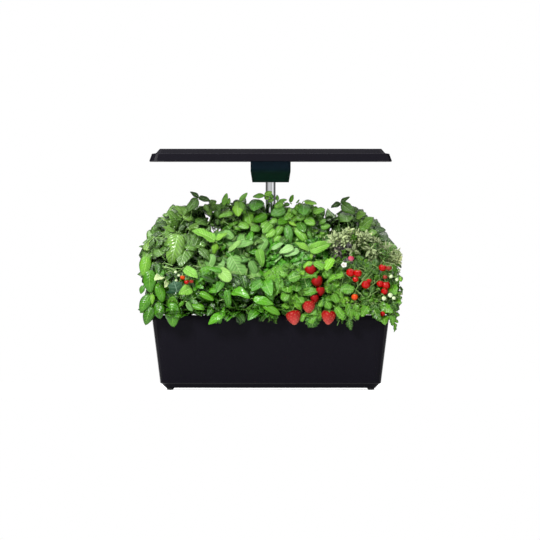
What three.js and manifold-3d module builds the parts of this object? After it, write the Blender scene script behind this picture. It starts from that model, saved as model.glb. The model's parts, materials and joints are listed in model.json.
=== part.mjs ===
// A countertop hydroponic garden: a water tank with a planting deck over it, net baskets with rooted
// herbs and fruit, a pump and float under the deck, and a grow lamp on a mast that slides and turns.
// Millimetres, +Z up and +Y to the back. The origin is on the table, under the middle of the tank.

import * as THREE from "three";
import { mergeVertices } from "three/addons/utils/BufferGeometryUtils.js";
import Module from "manifold-3d";

const wasm = await Module();
wasm.setup();

// Fits shared by the whole object
const seatGap = 0.3;
const overrun = 6;
const weldDistance = 1e-4;
const cornerSteps = 4;
const roundSides = 12;

// Reservoir
const tankTopWidth = 372;
const tankTopDepth = 212;
const tankHeight = 109.5;
const tankDraft = 12.7;
const tankWall = 2.5;
const tankFloor = 4;
const tankCornerTop = 20;
const tankCornerBottom = 11;
const bevelHeight = 7.8;
const bevelInset = 9;
const bevelStepHeight = 1.6;
const bevelStepInset = 3;

// Feet
const footHeight = 3.3;
const footRadius = 5.4;
const footTipRadius = 3.4;
const footInset = 6.6;
const footRecess = 1.2;

// Planting deck
const lipReach = 4;
const lipDrop = 2.7;
const lipWall = 3;
const rimRise = 1.6;
const rimWidth = 4.5;
const rimBevel = 0.9;
const deckPlate = 2.4;
const ribDepth = 6;
const ribWall = 2;

// Pods: holes in the deck, net baskets and the plugs that the plants root in
const podColumns = 4;
const podRows = 3;
const columnMargin = 48;
const rowMargin = 40;
const columnPitch = (tankTopWidth - 2 * columnMargin) / (podColumns - 1);
const rowPitch = (tankTopDepth - 2 * rowMargin) / (podRows - 1);
const podHoleRadius = 15;
const basketFlangeReach = 3.5;
const basketFlange = 1.6;
const basketHeight = 38;
const basketTaper = 3.5;
const basketWall = 1.3;
const basketFloor = 1.6;
const basketSides = 12;
const windowWidth = 5;
const windowSill = 6;
const windowHeight = 20;
const plugProud = 1.2;

// Mast
const mastMargin = 38;
const mastSetback = tankTopDepth / 2 - mastMargin;
const lowerTubeRadius = 10;
const upperTubeRadius = 7.85;
const tubeWall = 1;
const lowerTubeLength = 140;
const upperTubeReach = 205;
const tubeSides = 20;
const collarHeight = 17;
const collarWall = 2.6;
const collarLip = 5;
const collarBand = 1;
const mastBaseWidth = 50;
const mastBaseDepth = 38;
const mastBaseHeight = 17;
const mastBaseCorner = 8;
const jackRadius = 5;
const jackLength = 11;
const jackBoreRadius = 3;
const jackPinRadius = 0.9;
const cableHoleRadius = 5;

// Lamp
const lampOverhang = 4.7;
const lampShortfall = 11;
const lampWidth = tankTopWidth + 2 * lampOverhang;
const lampDepth = tankTopDepth - 2 * lampShortfall;
const lampUnderside = 359.7;
const skirtHeight = 11.5;
const skirtFlare = 4.2;
const ledgeWidth = 6.4;
const ledgeRise = 1;
const plateauHeight = 6.9;
const plateauSlope = 6;
const lampCorner = 12;
const lampWall = 2.2;
const lampRoof = 3;
const frameInset = 1.2;
const framePlate = 1.6;
const frameBorder = 22;
const bayDepth = 56;
const ledMargin = 4;
const diffuserPlate = 1.2;
const boardPlate = 1.6;
const ledSide = 5;
const ledHeight = 0.9;
const ledColumns = 8;
const ledRows = 3;
const hangerRadius = 3.5;

// Neck under the lamp
const neckWidth = 63.4;
const neckDepth = 37;
const neckBottomWidth = 57.8;
const neckBottomDepth = 31;
const neckDrop = 32.5;
const neckTaperHeight = 17.6;
const neckCorner = 5;
const neckWall = 2;
const neckFlange = 4;
const neckFlangePlate = 1.8;
const neckSplit = 8;
const socketWall = 2.2;
const screwRadius = 1.3;
const screwHeadRadius = 2.6;
const screwHead = 1.5;
const screwBite = 6;
const screwSpread = 20;
const screwSides = 8;

// Controls on top of the lamp
const panelLength = 60;
const panelWidth = 22;
const panelRecess = 1.6;
const panelPlate = 1.1;
const panelMargin = 39;
const panelSetback = lampDepth / 2 - panelMargin;
const buttonRadius = 4.6;
const buttonPitch = 18;
const buttonProud = 0.2;
const buttonTravel = 1;
const buttonFlange = 1.2;
const buttonFlangeReach = 1.4;
const buttonGap = 0.35;
const switchRadius = 2;
const controlBoardLength = 68;
const controlBoardWidth = 26;

// Filler flap in the deck
const fillerAcross = columnPitch;
const fillerMargin = 24;
const fillerSetback = tankTopDepth / 2 - fillerMargin;
const fillerLength = 30;
const fillerWidth = 17;
const fillerChute = 8;
const fillerWall = 1.6;
const flapOverlap = 2.2;
const flapPlate = 1.6;
const hingeRise = 3;
const knuckleRadius = 2.1;
const hingePinRadius = 0.9;
const earThickness = 3;
const earRadius = 2.6;
const flapTab = 4;

// Water level float
const floatAcross = -columnPitch;
const floatMargin = 22;
const floatSetback = tankTopDepth / 2 - floatMargin;
const floatRadius = 9;
const floatBodyHeight = 13;
const stemRadius = 1.8;
const stemProud = 3;
const spigotWall = 1.8;
const spigotLength = 5;
const cageWall = 1.4;
const cageLength = 56;
const cageHoleRadius = 4.5;

// Pump, hung from the deck on its riser
const pumpToMast = 22;
const pumpSetback = mastSetback - pumpToMast;
const pumpWidth = 44;
const pumpDepth = 38;
const pumpHeight = 30;
const pumpLift = 14;
const rotorRadius = 6.4;
const rotorLength = 20;
const rotorShaftRadius = 1.4;
const rotorGap = 0.8;
const bladeReach = 10;
const bladeLength = 5;
const bladeThickness = 1.4;
const coverPlate = 2;
const coverInset = 4;
const coverSlot = 3;
const coverSlots = 5;
const riserRadius = 5.5;
const riserWall = 1.5;
const riserSocket = 4;
const outletRadius = 2.5;

// Foliage
const leafOverhangAcross = 22;
const leafOverhangAlong = 26;
const canopyHalfWidth = tankTopWidth / 2 + leafOverhangAcross;
const canopyHalfDepth = tankTopDepth / 2 + leafOverhangAlong;
const backCanopyTop = 198;
const canopyHeights = [
  [-15, 100],
  [24, 155],
  [44, backCanopyTop],
];
const canopyGap = 0.8;
const canopySquareness = 2.7;
const foliageClearance = 1.4;
const mastClearance = 4;
const serviceHeadroom = 38;
const serviceWidth = 44;
const serviceDepth = 48;
const droopRoom = 12;
const plantStemRadius = 2.4;
const stemSides = 5;
const heartShare = 0.74;
const leafHang = 0.9;
const heartSides = 8;
const heartRings = 5;
const lowestRiseShare = -0.6;
const leafThickness = 1.8;
const leafArchShare = 0.12;
const leafRoll = 0.5;
const goldenTurn = Math.PI * (3 - Math.sqrt(5));

// Where a leaf's outline bends, as a share of its length, and its half width there as a share of its width.
const leafShares = [
  [0.38, 0.5],
  [0.74, 0.36],
];

// Leaf length and width of each kind of plant, and how many leaves show on one plant.
const kinds = {
  basil: { length: 52, width: 42, leaves: 8, droop: 0.2 },
  darkBasil: { length: 54, width: 42, leaves: 8, droop: 0.2 },
  pepper: { length: 50, width: 30, leaves: 10, droop: 0.25 },
  mint: { length: 48, width: 36, leaves: 8, droop: 0.2 },
  balm: { length: 48, width: 42, leaves: 8, droop: 0.18 },
  sage: { length: 50, width: 26, leaves: 10, droop: 0.14 },
  strawberry: { length: 46, width: 44, leaves: 8, droop: 0.22 },
  tomato: { length: 46, width: 32, leaves: 10, droop: 0.24 },
};

// What grows in each pod, from the front row to the back and from left to right, with the share of its
// row's height that each plant reaches.
const planting = [
  [
    ["basil", 1],
    ["pepper", 0.97],
    ["strawberry", 0.98],
    ["tomato", 1],
  ],
  [
    ["darkBasil", 0.97],
    ["balm", 0.93],
    ["mint", 0.95],
    ["sage", 0.98],
  ],
  [
    ["darkBasil", 0.97],
    ["basil", 0.985],
    ["basil", 1],
    ["darkBasil", 0.95],
  ],
];

// Fruit: shares of the canopy's half width, of the leaves' overhang in front of the tank and of the
// canopy's height above the deck, then the size as a share of the full radius.
const strawberryRadius = 11;
const tomatoRadius = 7;
const stalkRadius = 1;
const stalkKnot = 1.8;
const fruitGap = 0.4;
const fruitSides = 8;
const fruitRings = 4;
const strawberryProfileShares = [
  [0, -1.15],
  [0.55, -0.8],
  [0.95, 0],
  [0.8, 0.6],
  [0, 0.75],
];
const strawberryShares = [
  [0.169, 0.6, -0.012, 0.92],
  [0.433, 0.6, -0.012, 0.94],
  [0.282, 0.54, 0.084, 0.86],
];
const ripeStrawberryShares = [
  [0.32, 0.49, 0.353, 0.8],
  [0.335, 0.52, 0.266, 0.8],
  [0.315, 0.49, 0.187, 0.8],
];
const leftTomatoShares = [
  [0.607, 0.54, 0.353, 1],
  [0.66, 0.65, 0.353, 1],
  [0.645, 0.59, 0.297, 0.9],
  [0.72, 0.59, 0.258, 1],
  [0.614, 0.65, 0.155, 0.9],
];
const rightTomatoShares = [
  [0.849, 0.39, 0.393, 0.95],
  [0.894, 0.19, 0.385, 0.95],
  [0.826, 0.49, 0.258, 0.95],
  [0.871, 0.34, 0.25, 0.95],
  [0.863, 0.49, 0.198, 0.9],
];

// Heights and places that follow from the sizes
const tankRim = footHeight + tankHeight;
const deckUnderside = tankRim + seatGap;
const deckTop = deckUnderside + deckPlate;
const lipTop = deckTop + rimRise;
const lipBottom = deckUnderside - lipDrop;
const floorTop = footHeight + tankFloor;
const lipHalfWidth = tankTopWidth / 2 + lipReach;
const lipHalfDepth = tankTopDepth / 2 + lipReach;
const lampTop = lampUnderside + skirtHeight + ledgeRise + plateauHeight;
const neckBottom = lampUnderside - neckDrop;
const lowerTubeBottom = deckTop + seatGap;
const lowerTubeTop = lowerTubeBottom + lowerTubeLength;
const upperTubeBottom = neckBottom + neckWall + seatGap + socketWall - upperTubeReach;

const material = (color, roughness, metalness = 0) =>
  new THREE.MeshStandardMaterial({ color, roughness, metalness });
const blackShell = material(0x15141a, 0.32);
const blackInner = material(0x101014, 0.6);
const basketPlastic = material(0x1b1b1e, 0.65);
const chrome = material(0xd9dadf, 0.12, 1);
const rubber = material(0x0c0c0d, 0.9);
const boardWhite = material(0xe9ebe6, 0.5);
const diffuserSheet = material(0xe6ecf0, 0.3);
const buttonGrey = material(0x3a3b42, 0.5);
const floatRed = material(0xc8321e, 0.5);
const brass = material(0xb08d45, 0.3, 1);
const strawberryRed = material(0xc41a20, 0.45);
const tomatoRed = material(0xdd0b08, 0.18);
const leafColours = {
  basil: material(0x4f9a26, 0.45),
  darkBasil: material(0x3f6f33, 0.5),
  pepper: material(0x3c8f2a, 0.42),
  mint: material(0x6dae4e, 0.55),
  balm: material(0x76a862, 0.6),
  sage: material(0x6f7a55, 0.7),
  strawberry: material(0x63a83e, 0.5),
  tomato: material(0x3f8a2c, 0.5),
};

// Solids: a closed three.js geometry becomes a manifold, is cut or joined, and comes back as a geometry.
function solid(geometry) {
  const bare = geometry.index ? geometry.toNonIndexed() : geometry.clone();
  bare.deleteAttribute("normal");
  bare.deleteAttribute("uv");
  const merged = mergeVertices(bare, weldDistance);
  const corners = [];
  for (let i = 0; i < merged.index.count; i += 3) {
    const [a, b, c] = [0, 1, 2].map((k) => merged.index.getX(i + k));
    if (a !== b && b !== c && c !== a) corners.push(a, b, c);
  }
  const build = (triangles) =>
    new wasm.Manifold(
      new wasm.Mesh({
        numProp: 3,
        vertProperties: merged.attributes.position.array,
        triVerts: new Uint32Array(triangles),
      }),
    );
  const made = build(corners);
  return made.volume() > 0 ? made : build(corners.reverse());
}

function geometryOf(made) {
  const mesh = made.getMesh();
  const geometry = new THREE.BufferGeometry();
  geometry.setAttribute("position", new THREE.BufferAttribute(mesh.vertProperties, 3));
  geometry.setIndex(new THREE.BufferAttribute(mesh.triVerts, 1));
  geometry.computeVertexNormals();
  return geometry;
}

const placed = (made, x, y, z) => solid(geometryOf(made).translate(x, y, z));
const joined = (solids) => solids.reduce((sum, next) => sum.add(next));
const less = (made, cutters) => cutters.reduce((rest, cutter) => rest.subtract(cutter), made);

// The largest body of a cut solid: what a cut leaves loose falls away.
function mainBody(made) {
  const bodies = made.decompose();
  return bodies.reduce((most, next) => (next.volume() > most.volume() ? next : most));
}

function box(width, depth, height, x, y, bottom) {
  return solid(
    new THREE.BoxGeometry(width, depth, height).translate(x, y, bottom + height / 2),
  );
}

function post(radius, height, x, y, bottom, sides = roundSides, topRadius = radius) {
  const geometry = new THREE.CylinderGeometry(topRadius, radius, height, sides);
  geometry.rotateX(Math.PI / 2);
  return solid(geometry.translate(x, y, bottom + height / 2));
}

// A cylinder that lies along X or Y, from its low end.
function bar(radius, length, axis, x, y, z, sides = roundSides) {
  const geometry = new THREE.CylinderGeometry(radius, radius, length, sides);
  if (axis === "x") geometry.rotateZ(Math.PI / 2).translate(length / 2, 0, 0);
  else geometry.translate(0, length / 2, 0);
  return solid(geometry.translate(x, y, z));
}

// A profile of [radius, height] points turned round the Z axis.
function turned(profile, sides = roundSides) {
  const points = profile.map(([radius, height]) => new THREE.Vector2(radius, height));
  return solid(new THREE.LatheGeometry(points, sides).rotateX(Math.PI / 2));
}

function pipe(outer, inner, bottom, top, sides = tubeSides) {
  return turned(
    [
      [outer, bottom],
      [outer, top],
      [inner, top],
      [inner, bottom],
      [outer, bottom],
    ],
    sides,
  );
}

// One level of a rounded box: half width, half depth, corner radius and height.
function level(halfWidth, halfDepth, corner, height) {
  const points = [];
  for (let quarter = 0; quarter < 4; quarter += 1) {
    const sideX = quarter === 0 || quarter === 3 ? 1 : -1;
    const sideY = quarter < 2 ? 1 : -1;
    for (let step = 0; step <= cornerSteps; step += 1) {
      const angle = (quarter + step / cornerSteps) * (Math.PI / 2);
      points.push(
        new THREE.Vector3(
          sideX * (halfWidth - corner) + corner * Math.cos(angle),
          sideY * (halfDepth - corner) + corner * Math.sin(angle),
          height,
        ),
      );
    }
  }
  return points;
}

// A closed skin over levels of equal point counts, flat at its bottom and top.
function lofted(levels, x = 0, y = 0) {
  const count = levels[0].length;
  const positions = levels.flat().flatMap((point) => [point.x + x, point.y + y, point.z]);
  const index = [];
  for (let k = 0; k + 1 < levels.length; k += 1) {
    for (let i = 0; i < count; i += 1) {
      const low = k * count + i;
      const lowNext = k * count + ((i + 1) % count);
      index.push(low, lowNext, low + count);
      index.push(lowNext, lowNext + count, low + count);
    }
  }
  const last = (levels.length - 1) * count;
  for (let i = 1; i + 1 < count; i += 1) {
    index.push(0, i + 1, i);
    index.push(last, last + i, last + i + 1);
  }
  const geometry = new THREE.BufferGeometry();
  geometry.setAttribute("position", new THREE.Float32BufferAttribute(positions, 3));
  geometry.setIndex(index);
  return solid(geometry);
}

// Half sizes of the tank's outer face at a height above its bevel.
function tankLevel(height, inset = 0) {
  const share = (height - footHeight - bevelHeight) / (tankHeight - bevelHeight);
  const lean = tankDraft * (1 - share) + inset;
  const corner = THREE.MathUtils.lerp(tankCornerBottom, tankCornerTop, share) - inset;
  return level(tankTopWidth / 2 - lean, tankTopDepth / 2 - lean, Math.max(corner, inset), height);
}

function baseLevel(inset, height) {
  const half = (size) => size / 2 - tankDraft - inset;
  const corner = tankCornerBottom - inset / 2;
  return level(half(tankTopWidth), half(tankTopDepth), corner, height);
}

const footAcross = tankTopWidth / 2 - tankDraft - bevelInset - footInset;
const footAlong = tankTopDepth / 2 - tankDraft - bevelInset - footInset;
const footPlaces = {
  front_left: [-footAcross, -footAlong],
  front_right: [footAcross, -footAlong],
  back_left: [-footAcross, footAlong],
  back_right: [footAcross, footAlong],
};

function tankSolid() {
  const bevelTop = footHeight + bevelHeight;
  const outer = lofted([
    baseLevel(bevelInset, footHeight),
    baseLevel(bevelStepInset, bevelTop - bevelStepHeight),
    tankLevel(bevelTop),
    tankLevel(tankRim),
  ]);
  const cavity = lofted([
    baseLevel(bevelInset, floorTop),
    tankLevel(bevelTop + tankFloor, tankWall),
    tankLevel(tankRim + overrun, tankWall),
  ]);
  const recesses = Object.values(footPlaces).map(([x, y]) =>
    post(footRadius + seatGap, footRecess + overrun, x, y, footHeight - overrun),
  );
  return less(outer, [cavity, ...recesses]);
}

function footSolid() {
  const seat = footHeight + footRecess - seatGap;
  return turned([
    [0, 0],
    [footTipRadius, 0],
    [footRadius, footHeight / 2],
    [footRadius, seat],
    [0, seat],
  ]);
}

const podPlaces = [];
for (let row = 0; row < podRows; row += 1) {
  for (let column = 0; column < podColumns; column += 1) {
    podPlaces.push({
      row,
      column,
      x: (column - (podColumns - 1) / 2) * columnPitch,
      y: (row - (podRows - 1) / 2) * rowPitch,
    });
  }
}

const hingeAlong = fillerSetback - fillerWidth / 2 - flapOverlap - knuckleRadius;
const hingeHeight = deckTop + hingeRise;
const knuckleLength = fillerLength + 2 * flapOverlap;

function deckSolid() {
  const plate = lofted([
    level(lipHalfWidth, lipHalfDepth, tankCornerTop + lipReach, lipBottom),
    level(lipHalfWidth, lipHalfDepth, tankCornerTop + lipReach, lipTop - rimBevel),
    level(lipHalfWidth - rimBevel, lipHalfDepth - rimBevel, tankCornerTop + lipReach - rimBevel, lipTop),
  ]);
  const under = lipWall;
  const underside = lofted([
    level(lipHalfWidth - under, lipHalfDepth - under, tankCornerTop + lipReach - under, lipBottom - overrun),
    level(lipHalfWidth - under, lipHalfDepth - under, tankCornerTop + lipReach - under, deckUnderside),
  ]);
  const well = lofted([
    level(lipHalfWidth - rimWidth, lipHalfDepth - rimWidth, tankCornerTop, deckTop),
    level(lipHalfWidth - rimWidth, lipHalfDepth - rimWidth, tankCornerTop, lipTop + overrun),
  ]);
  const ribAway = tankWall + seatGap + tankDraft * (ribDepth / tankHeight);
  const ribHalf = (size) => size / 2 - ribAway;
  const ribCorner = tankCornerTop - ribAway;
  const ribRing = (inset, bottom, top) =>
    lofted([
      level(ribHalf(tankTopWidth) - inset, ribHalf(tankTopDepth) - inset, ribCorner - inset, bottom),
      level(ribHalf(tankTopWidth) - inset, ribHalf(tankTopDepth) - inset, ribCorner - inset, top),
    ]);
  const rib = less(ribRing(0, deckUnderside - ribDepth, deckUnderside + deckPlate / 2), [
    ribRing(ribWall, deckUnderside - ribDepth - overrun, deckUnderside + overrun),
  ]);
  const chute = box(
    fillerLength + 2 * fillerWall,
    fillerWidth + 2 * fillerWall,
    fillerChute + deckPlate / 2,
    fillerAcross,
    fillerSetback,
    deckUnderside - fillerChute,
  );
  const ears = [-1, 1].map((side) => {
    const low = side * (knuckleLength / 2 + seatGap + earThickness / 2) - earThickness / 2;
    const knob = bar(earRadius, earThickness, "x", fillerAcross + low, hingeAlong, hingeHeight);
    const foot = box(
      earThickness,
      2 * earRadius,
      hingeRise + deckPlate / 2,
      fillerAcross + low + earThickness / 2,
      hingeAlong,
      deckTop - deckPlate / 2,
    );
    return knob.add(foot);
  });
  const riserSpigot = ringUnderDeck(riserRadius + seatGap + spigotWall, 0, riserAlong);
  const cageSpigot = ringUnderDeck(floatRadius + rotorGap - seatGap, floatAcross, floatSetback);
  const through = (radius, x, y, sides) =>
    post(radius, spigotLength + deckPlate + 2 * overrun, x, y, deckUnderside - spigotLength - overrun, sides);
  const riserSeat = post(
    riserRadius + seatGap,
    spigotLength + overrun,
    0,
    riserAlong,
    deckUnderside - spigotLength - overrun,
  );
  const cageSeat = post(
    floatRadius + rotorGap - seatGap - spigotWall,
    spigotLength + overrun,
    floatAcross,
    floatSetback,
    deckUnderside - spigotLength - overrun,
  );
  const filler = box(
    fillerLength,
    fillerWidth,
    fillerChute + deckPlate + 2 * overrun,
    fillerAcross,
    fillerSetback,
    deckUnderside - fillerChute - overrun,
  );
  const pinHole = bar(
    hingePinRadius + seatGap,
    knuckleLength + 4 * earThickness,
    "x",
    fillerAcross - knuckleLength / 2 - 2 * earThickness,
    hingeAlong,
    hingeHeight,
    screwSides,
  );
  const body = joined([
    less(plate, [underside, well]),
    rib,
    chute,
    less(riserSpigot, [riserSeat]),
    less(cageSpigot, [cageSeat]),
    ...ears,
  ]);
  const holes = podPlaces.map(({ x, y }) => through(podHoleRadius, x, y));
  return less(body, [
    ...holes,
    filler,
    pinHole,
    through(stemRadius + rotorGap, floatAcross, floatSetback, screwSides),
    through(cableHoleRadius, 0, mastSetback, screwSides),
  ]);
}

// A round boss that hangs under the deck.
function ringUnderDeck(radius, x, y) {
  return post(radius, spigotLength + deckPlate / 2, x, y, deckUnderside - spigotLength);
}

// Basket and plug share the taper. Heights are from the deck's top face.
const basketTopRadius = podHoleRadius - 2 * seatGap;
const basketBottomRadius = basketTopRadius - basketTaper;
const basketFlangeTop = seatGap + basketFlange;
const basketBottom = basketFlangeTop - basketHeight;

function basketSolid() {
  const inner = basketTopRadius - basketWall;
  const cup = turned(
    [
      [0, basketBottom],
      [basketBottomRadius, basketBottom],
      [basketTopRadius, seatGap],
      [podHoleRadius + basketFlangeReach, seatGap],
      [podHoleRadius + basketFlangeReach, basketFlangeTop],
      [inner, basketFlangeTop],
      [basketBottomRadius - basketWall, basketBottom + basketFloor],
      [0, basketBottom + basketFloor],
    ],
    basketSides,
  );
  const across = 4 * podHoleRadius;
  const sill = basketBottom + windowSill;
  return less(cup, [
    box(across, windowWidth, windowHeight, 0, 0, sill),
    box(windowWidth, across, windowHeight, 0, 0, sill),
  ]);
}

function plugSolid() {
  const bottom = basketBottom + basketFloor + seatGap;
  const top = basketFlangeTop + plugProud;
  const radius = basketTopRadius - basketWall - 2 * seatGap;
  return post(radius - basketTaper, top - bottom, 0, 0, bottom, basketSides, radius);
}

// Mast
const jackAcross = mastBaseWidth / 2 - jackRadius - 3 * seatGap - rimBevel;
const jackHeight = deckTop + seatGap + mastBaseHeight / 2;

function mastBaseSolid() {
  const height = deckTop + seatGap;
  const half = [mastBaseWidth / 2, mastBaseDepth / 2];
  const block = lofted([
    level(...half, mastBaseCorner, height),
    level(...half, mastBaseCorner, height + mastBaseHeight - rimBevel),
    level(half[0] - rimBevel, half[1] - rimBevel, mastBaseCorner - rimBevel, height + mastBaseHeight),
  ], 0, mastSetback);
  const bore = post(
    lowerTubeRadius + seatGap,
    mastBaseHeight + 2 * overrun,
    0,
    mastSetback,
    height - overrun,
    tubeSides,
  );
  const jackBore = bar(
    jackRadius + seatGap,
    jackLength + seatGap + overrun,
    "y",
    jackAcross,
    mastSetback + mastBaseDepth / 2 - jackLength - seatGap,
    jackHeight,
  );
  return less(block, [bore, jackBore]);
}

// The power inlet: a barrel with an open socket and its centre pin, facing the back.
function jackSolid() {
  const back = mastSetback + mastBaseDepth / 2;
  const barrel = bar(jackRadius, jackLength, "y", jackAcross, back - jackLength, jackHeight);
  const socket = bar(
    jackBoreRadius,
    jackLength,
    "y",
    jackAcross,
    back - jackLength + rimBevel,
    jackHeight,
  );
  const pin = bar(
    jackPinRadius,
    jackLength - rimBevel,
    "y",
    jackAcross,
    back - jackLength,
    jackHeight,
    screwSides,
  );
  return less(barrel, [socket]).add(pin);
}

function collarSolid() {
  const bottom = lowerTubeTop - collarLip;
  const outer = lowerTubeRadius + collarWall;
  const bore = upperTubeRadius + seatGap;
  const seat = lowerTubeRadius + seatGap;
  return turned(
    [
      [seat, bottom],
      [outer - collarBand, bottom],
      [outer, bottom + collarBand],
      [outer, bottom + collarHeight - 2 * collarBand],
      [outer - 2 * collarBand, bottom + collarHeight],
      [bore, bottom + collarHeight],
      [bore, lowerTubeTop + seatGap],
      [seat, lowerTubeTop + seatGap],
      [seat, bottom],
    ],
    tubeSides,
  );
}

// Lamp shell: a flared skirt, a narrow ledge and a raised plateau, hollow below.
function lampLevel(narrowing, height, deeper = 0) {
  const inset = narrowing + deeper;
  const corner = Math.max(lampCorner - inset / 2, lampWall);
  return level(lampWidth / 2 - inset, lampDepth / 2 - inset, corner, height);
}

const skirtTop = lampUnderside + skirtHeight;
const ledgeTop = skirtTop + ledgeRise;
const plateauInset = skirtFlare + ledgeWidth + plateauSlope;
const shellCeiling = lampTop - lampRoof;
const boardUnderside = lampUnderside + framePlate + diffuserPlate + 4 * seatGap + ledHeight;
const boardTop = boardUnderside + boardPlate;
const bayFront = lampDepth / 2 - bayDepth;
const windowFront = -(lampDepth / 2 - frameBorder);
const windowAlong = (bayFront + windowFront) / 2;
const windowDepth = bayFront - windowFront;
const windowAcross = lampWidth - 2 * frameBorder;
const boardWidth = windowAcross + 2 * ledMargin;
const boardDepth = windowDepth + 2 * ledMargin - 2 * seatGap;

const buttonPlaces = [-1, 0, 1].map((step) => step * buttonPitch);
const controlBoardTop = lampTop - lampRoof - buttonFlange - buttonTravel - switchRadius;

function lampShellSolid() {
  const outer = lofted([
    lampLevel(0, lampUnderside),
    lampLevel(skirtFlare, skirtTop),
    lampLevel(skirtFlare + ledgeWidth, ledgeTop),
    lampLevel(plateauInset, lampTop),
  ]);
  const cavity = lofted([
    lampLevel(0, lampUnderside - lampWall, lampWall),
    lampLevel(skirtFlare, skirtTop - lampWall, lampWall),
    lampLevel(skirtFlare + ledgeWidth, ledgeTop - lampWall, lampWall),
    lampLevel(plateauInset, shellCeiling, lampWall),
  ]);
  const recess = box(
    panelLength + 2 * seatGap,
    panelWidth + 2 * seatGap,
    panelRecess + overrun,
    0,
    panelSetback,
    lampTop - panelRecess,
  );
  const holes = buttonPlaces.map((x) =>
    post(buttonRadius + buttonGap, lampRoof + 2 * overrun, x, panelSetback, shellCeiling - overrun),
  );
  const hangers = [-1, 1].flatMap((sideX) =>
    [-1, 1].map((sideY) => {
      const bottom = boardTop + seatGap;
      const x = sideX * (boardWidth / 2 - 3 * hangerRadius);
      const y = windowAlong + sideY * (boardDepth / 2 - 3 * hangerRadius);
      return post(hangerRadius, shellCeiling + lampRoof / 2 - bottom, x, y, bottom, screwSides);
    }),
  );
  const boardHangers = [-1, 1].map((side) => {
    const bottom = controlBoardTop + seatGap;
    const x = side * (controlBoardLength / 2 - hangerRadius);
    return post(hangerRadius, shellCeiling + lampRoof / 2 - bottom, x, panelSetback, bottom, screwSides);
  });
  return joined([less(outer, [cavity, recess, ...holes]), ...hangers, ...boardHangers]);
}

// The frame that closes the lamp from below, with a window for the light and a hole for the neck.
function lampFrameSolid() {
  const bottom = lampUnderside + seatGap;
  const shrink = lampWall + frameInset + (skirtFlare * framePlate) / skirtHeight;
  const plate = lofted([
    lampLevel(0, bottom, shrink),
    lampLevel(0, bottom + framePlate, shrink),
  ]);
  const lightWindow = box(
    windowAcross,
    windowDepth,
    framePlate + 2 * overrun,
    0,
    windowAlong,
    bottom - overrun,
  );
  const grow = 2 * seatGap;
  const neckHole = lofted(
    [
      level(neckWidth / 2 + grow, neckDepth / 2 + grow, neckCorner, bottom - overrun),
      level(neckWidth / 2 + grow, neckDepth / 2 + grow, neckCorner, bottom + framePlate + overrun),
    ],
    0,
    mastSetback,
  );
  return less(plate, [lightWindow, neckHole]);
}

function diffuserSolid() {
  const bottom = lampUnderside + framePlate + 2 * seatGap;
  return box(boardWidth, boardDepth, diffuserPlate, 0, windowAlong, bottom);
}

function ledBoardSolid() {
  const board = box(boardWidth, boardDepth, boardPlate, 0, windowAlong, boardUnderside);
  const chips = [];
  for (let row = 0; row < ledRows; row += 1) {
    for (let column = 0; column < ledColumns; column += 1) {
      const x = ((column + 0.5) / ledColumns - 0.5) * windowAcross;
      const y = windowAlong + ((row + 0.5) / ledRows - 0.5) * windowDepth;
      const height = ledHeight + boardPlate / 2;
      chips.push(box(ledSide, ledSide, height, x, y, boardUnderside - ledHeight));
    }
  }
  return joined([board, ...chips]);
}

// Neck: one hollow moulding, split upright into a housing and a rear cover, with the tube's socket.
function neckShell() {
  const kink = neckBottom + neckTaperHeight;
  const flangeBottom = lampUnderside + framePlate + 2 * seatGap;
  const top = flangeBottom + neckFlangePlate;
  const outer = lofted(
    [
      level(neckBottomWidth / 2, neckBottomDepth / 2, neckCorner, neckBottom),
      level(neckWidth / 2, neckDepth / 2, neckCorner, kink),
      level(neckWidth / 2, neckDepth / 2, neckCorner, top),
    ],
    0,
    mastSetback,
  );
  const flange = lofted(
    [flangeBottom, top].map((height) =>
      level(neckWidth / 2 + neckFlange, neckDepth / 2 + neckFlange, neckCorner + neckFlange, height),
    ),
    0,
    mastSetback,
  );
  const inner = lofted(
    [
      [neckBottomWidth, neckBottomDepth, neckBottom + neckWall],
      [neckWidth, neckDepth, kink],
      [neckWidth, neckDepth, top + overrun],
    ].map(([width, depth, height]) =>
      level(width / 2 - neckWall, depth / 2 - neckWall, neckCorner - neckWall, height),
    ),
    0,
    mastSetback,
  );
  return less(outer.add(flange), [inner]);
}

const splitPlane = mastSetback + neckSplit + upperTubeRadius / 2;
const screwHeight = neckBottom + neckTaperHeight + (neckDrop - neckTaperHeight) / 2;
const rearFace = mastSetback + neckDepth / 2;

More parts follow.
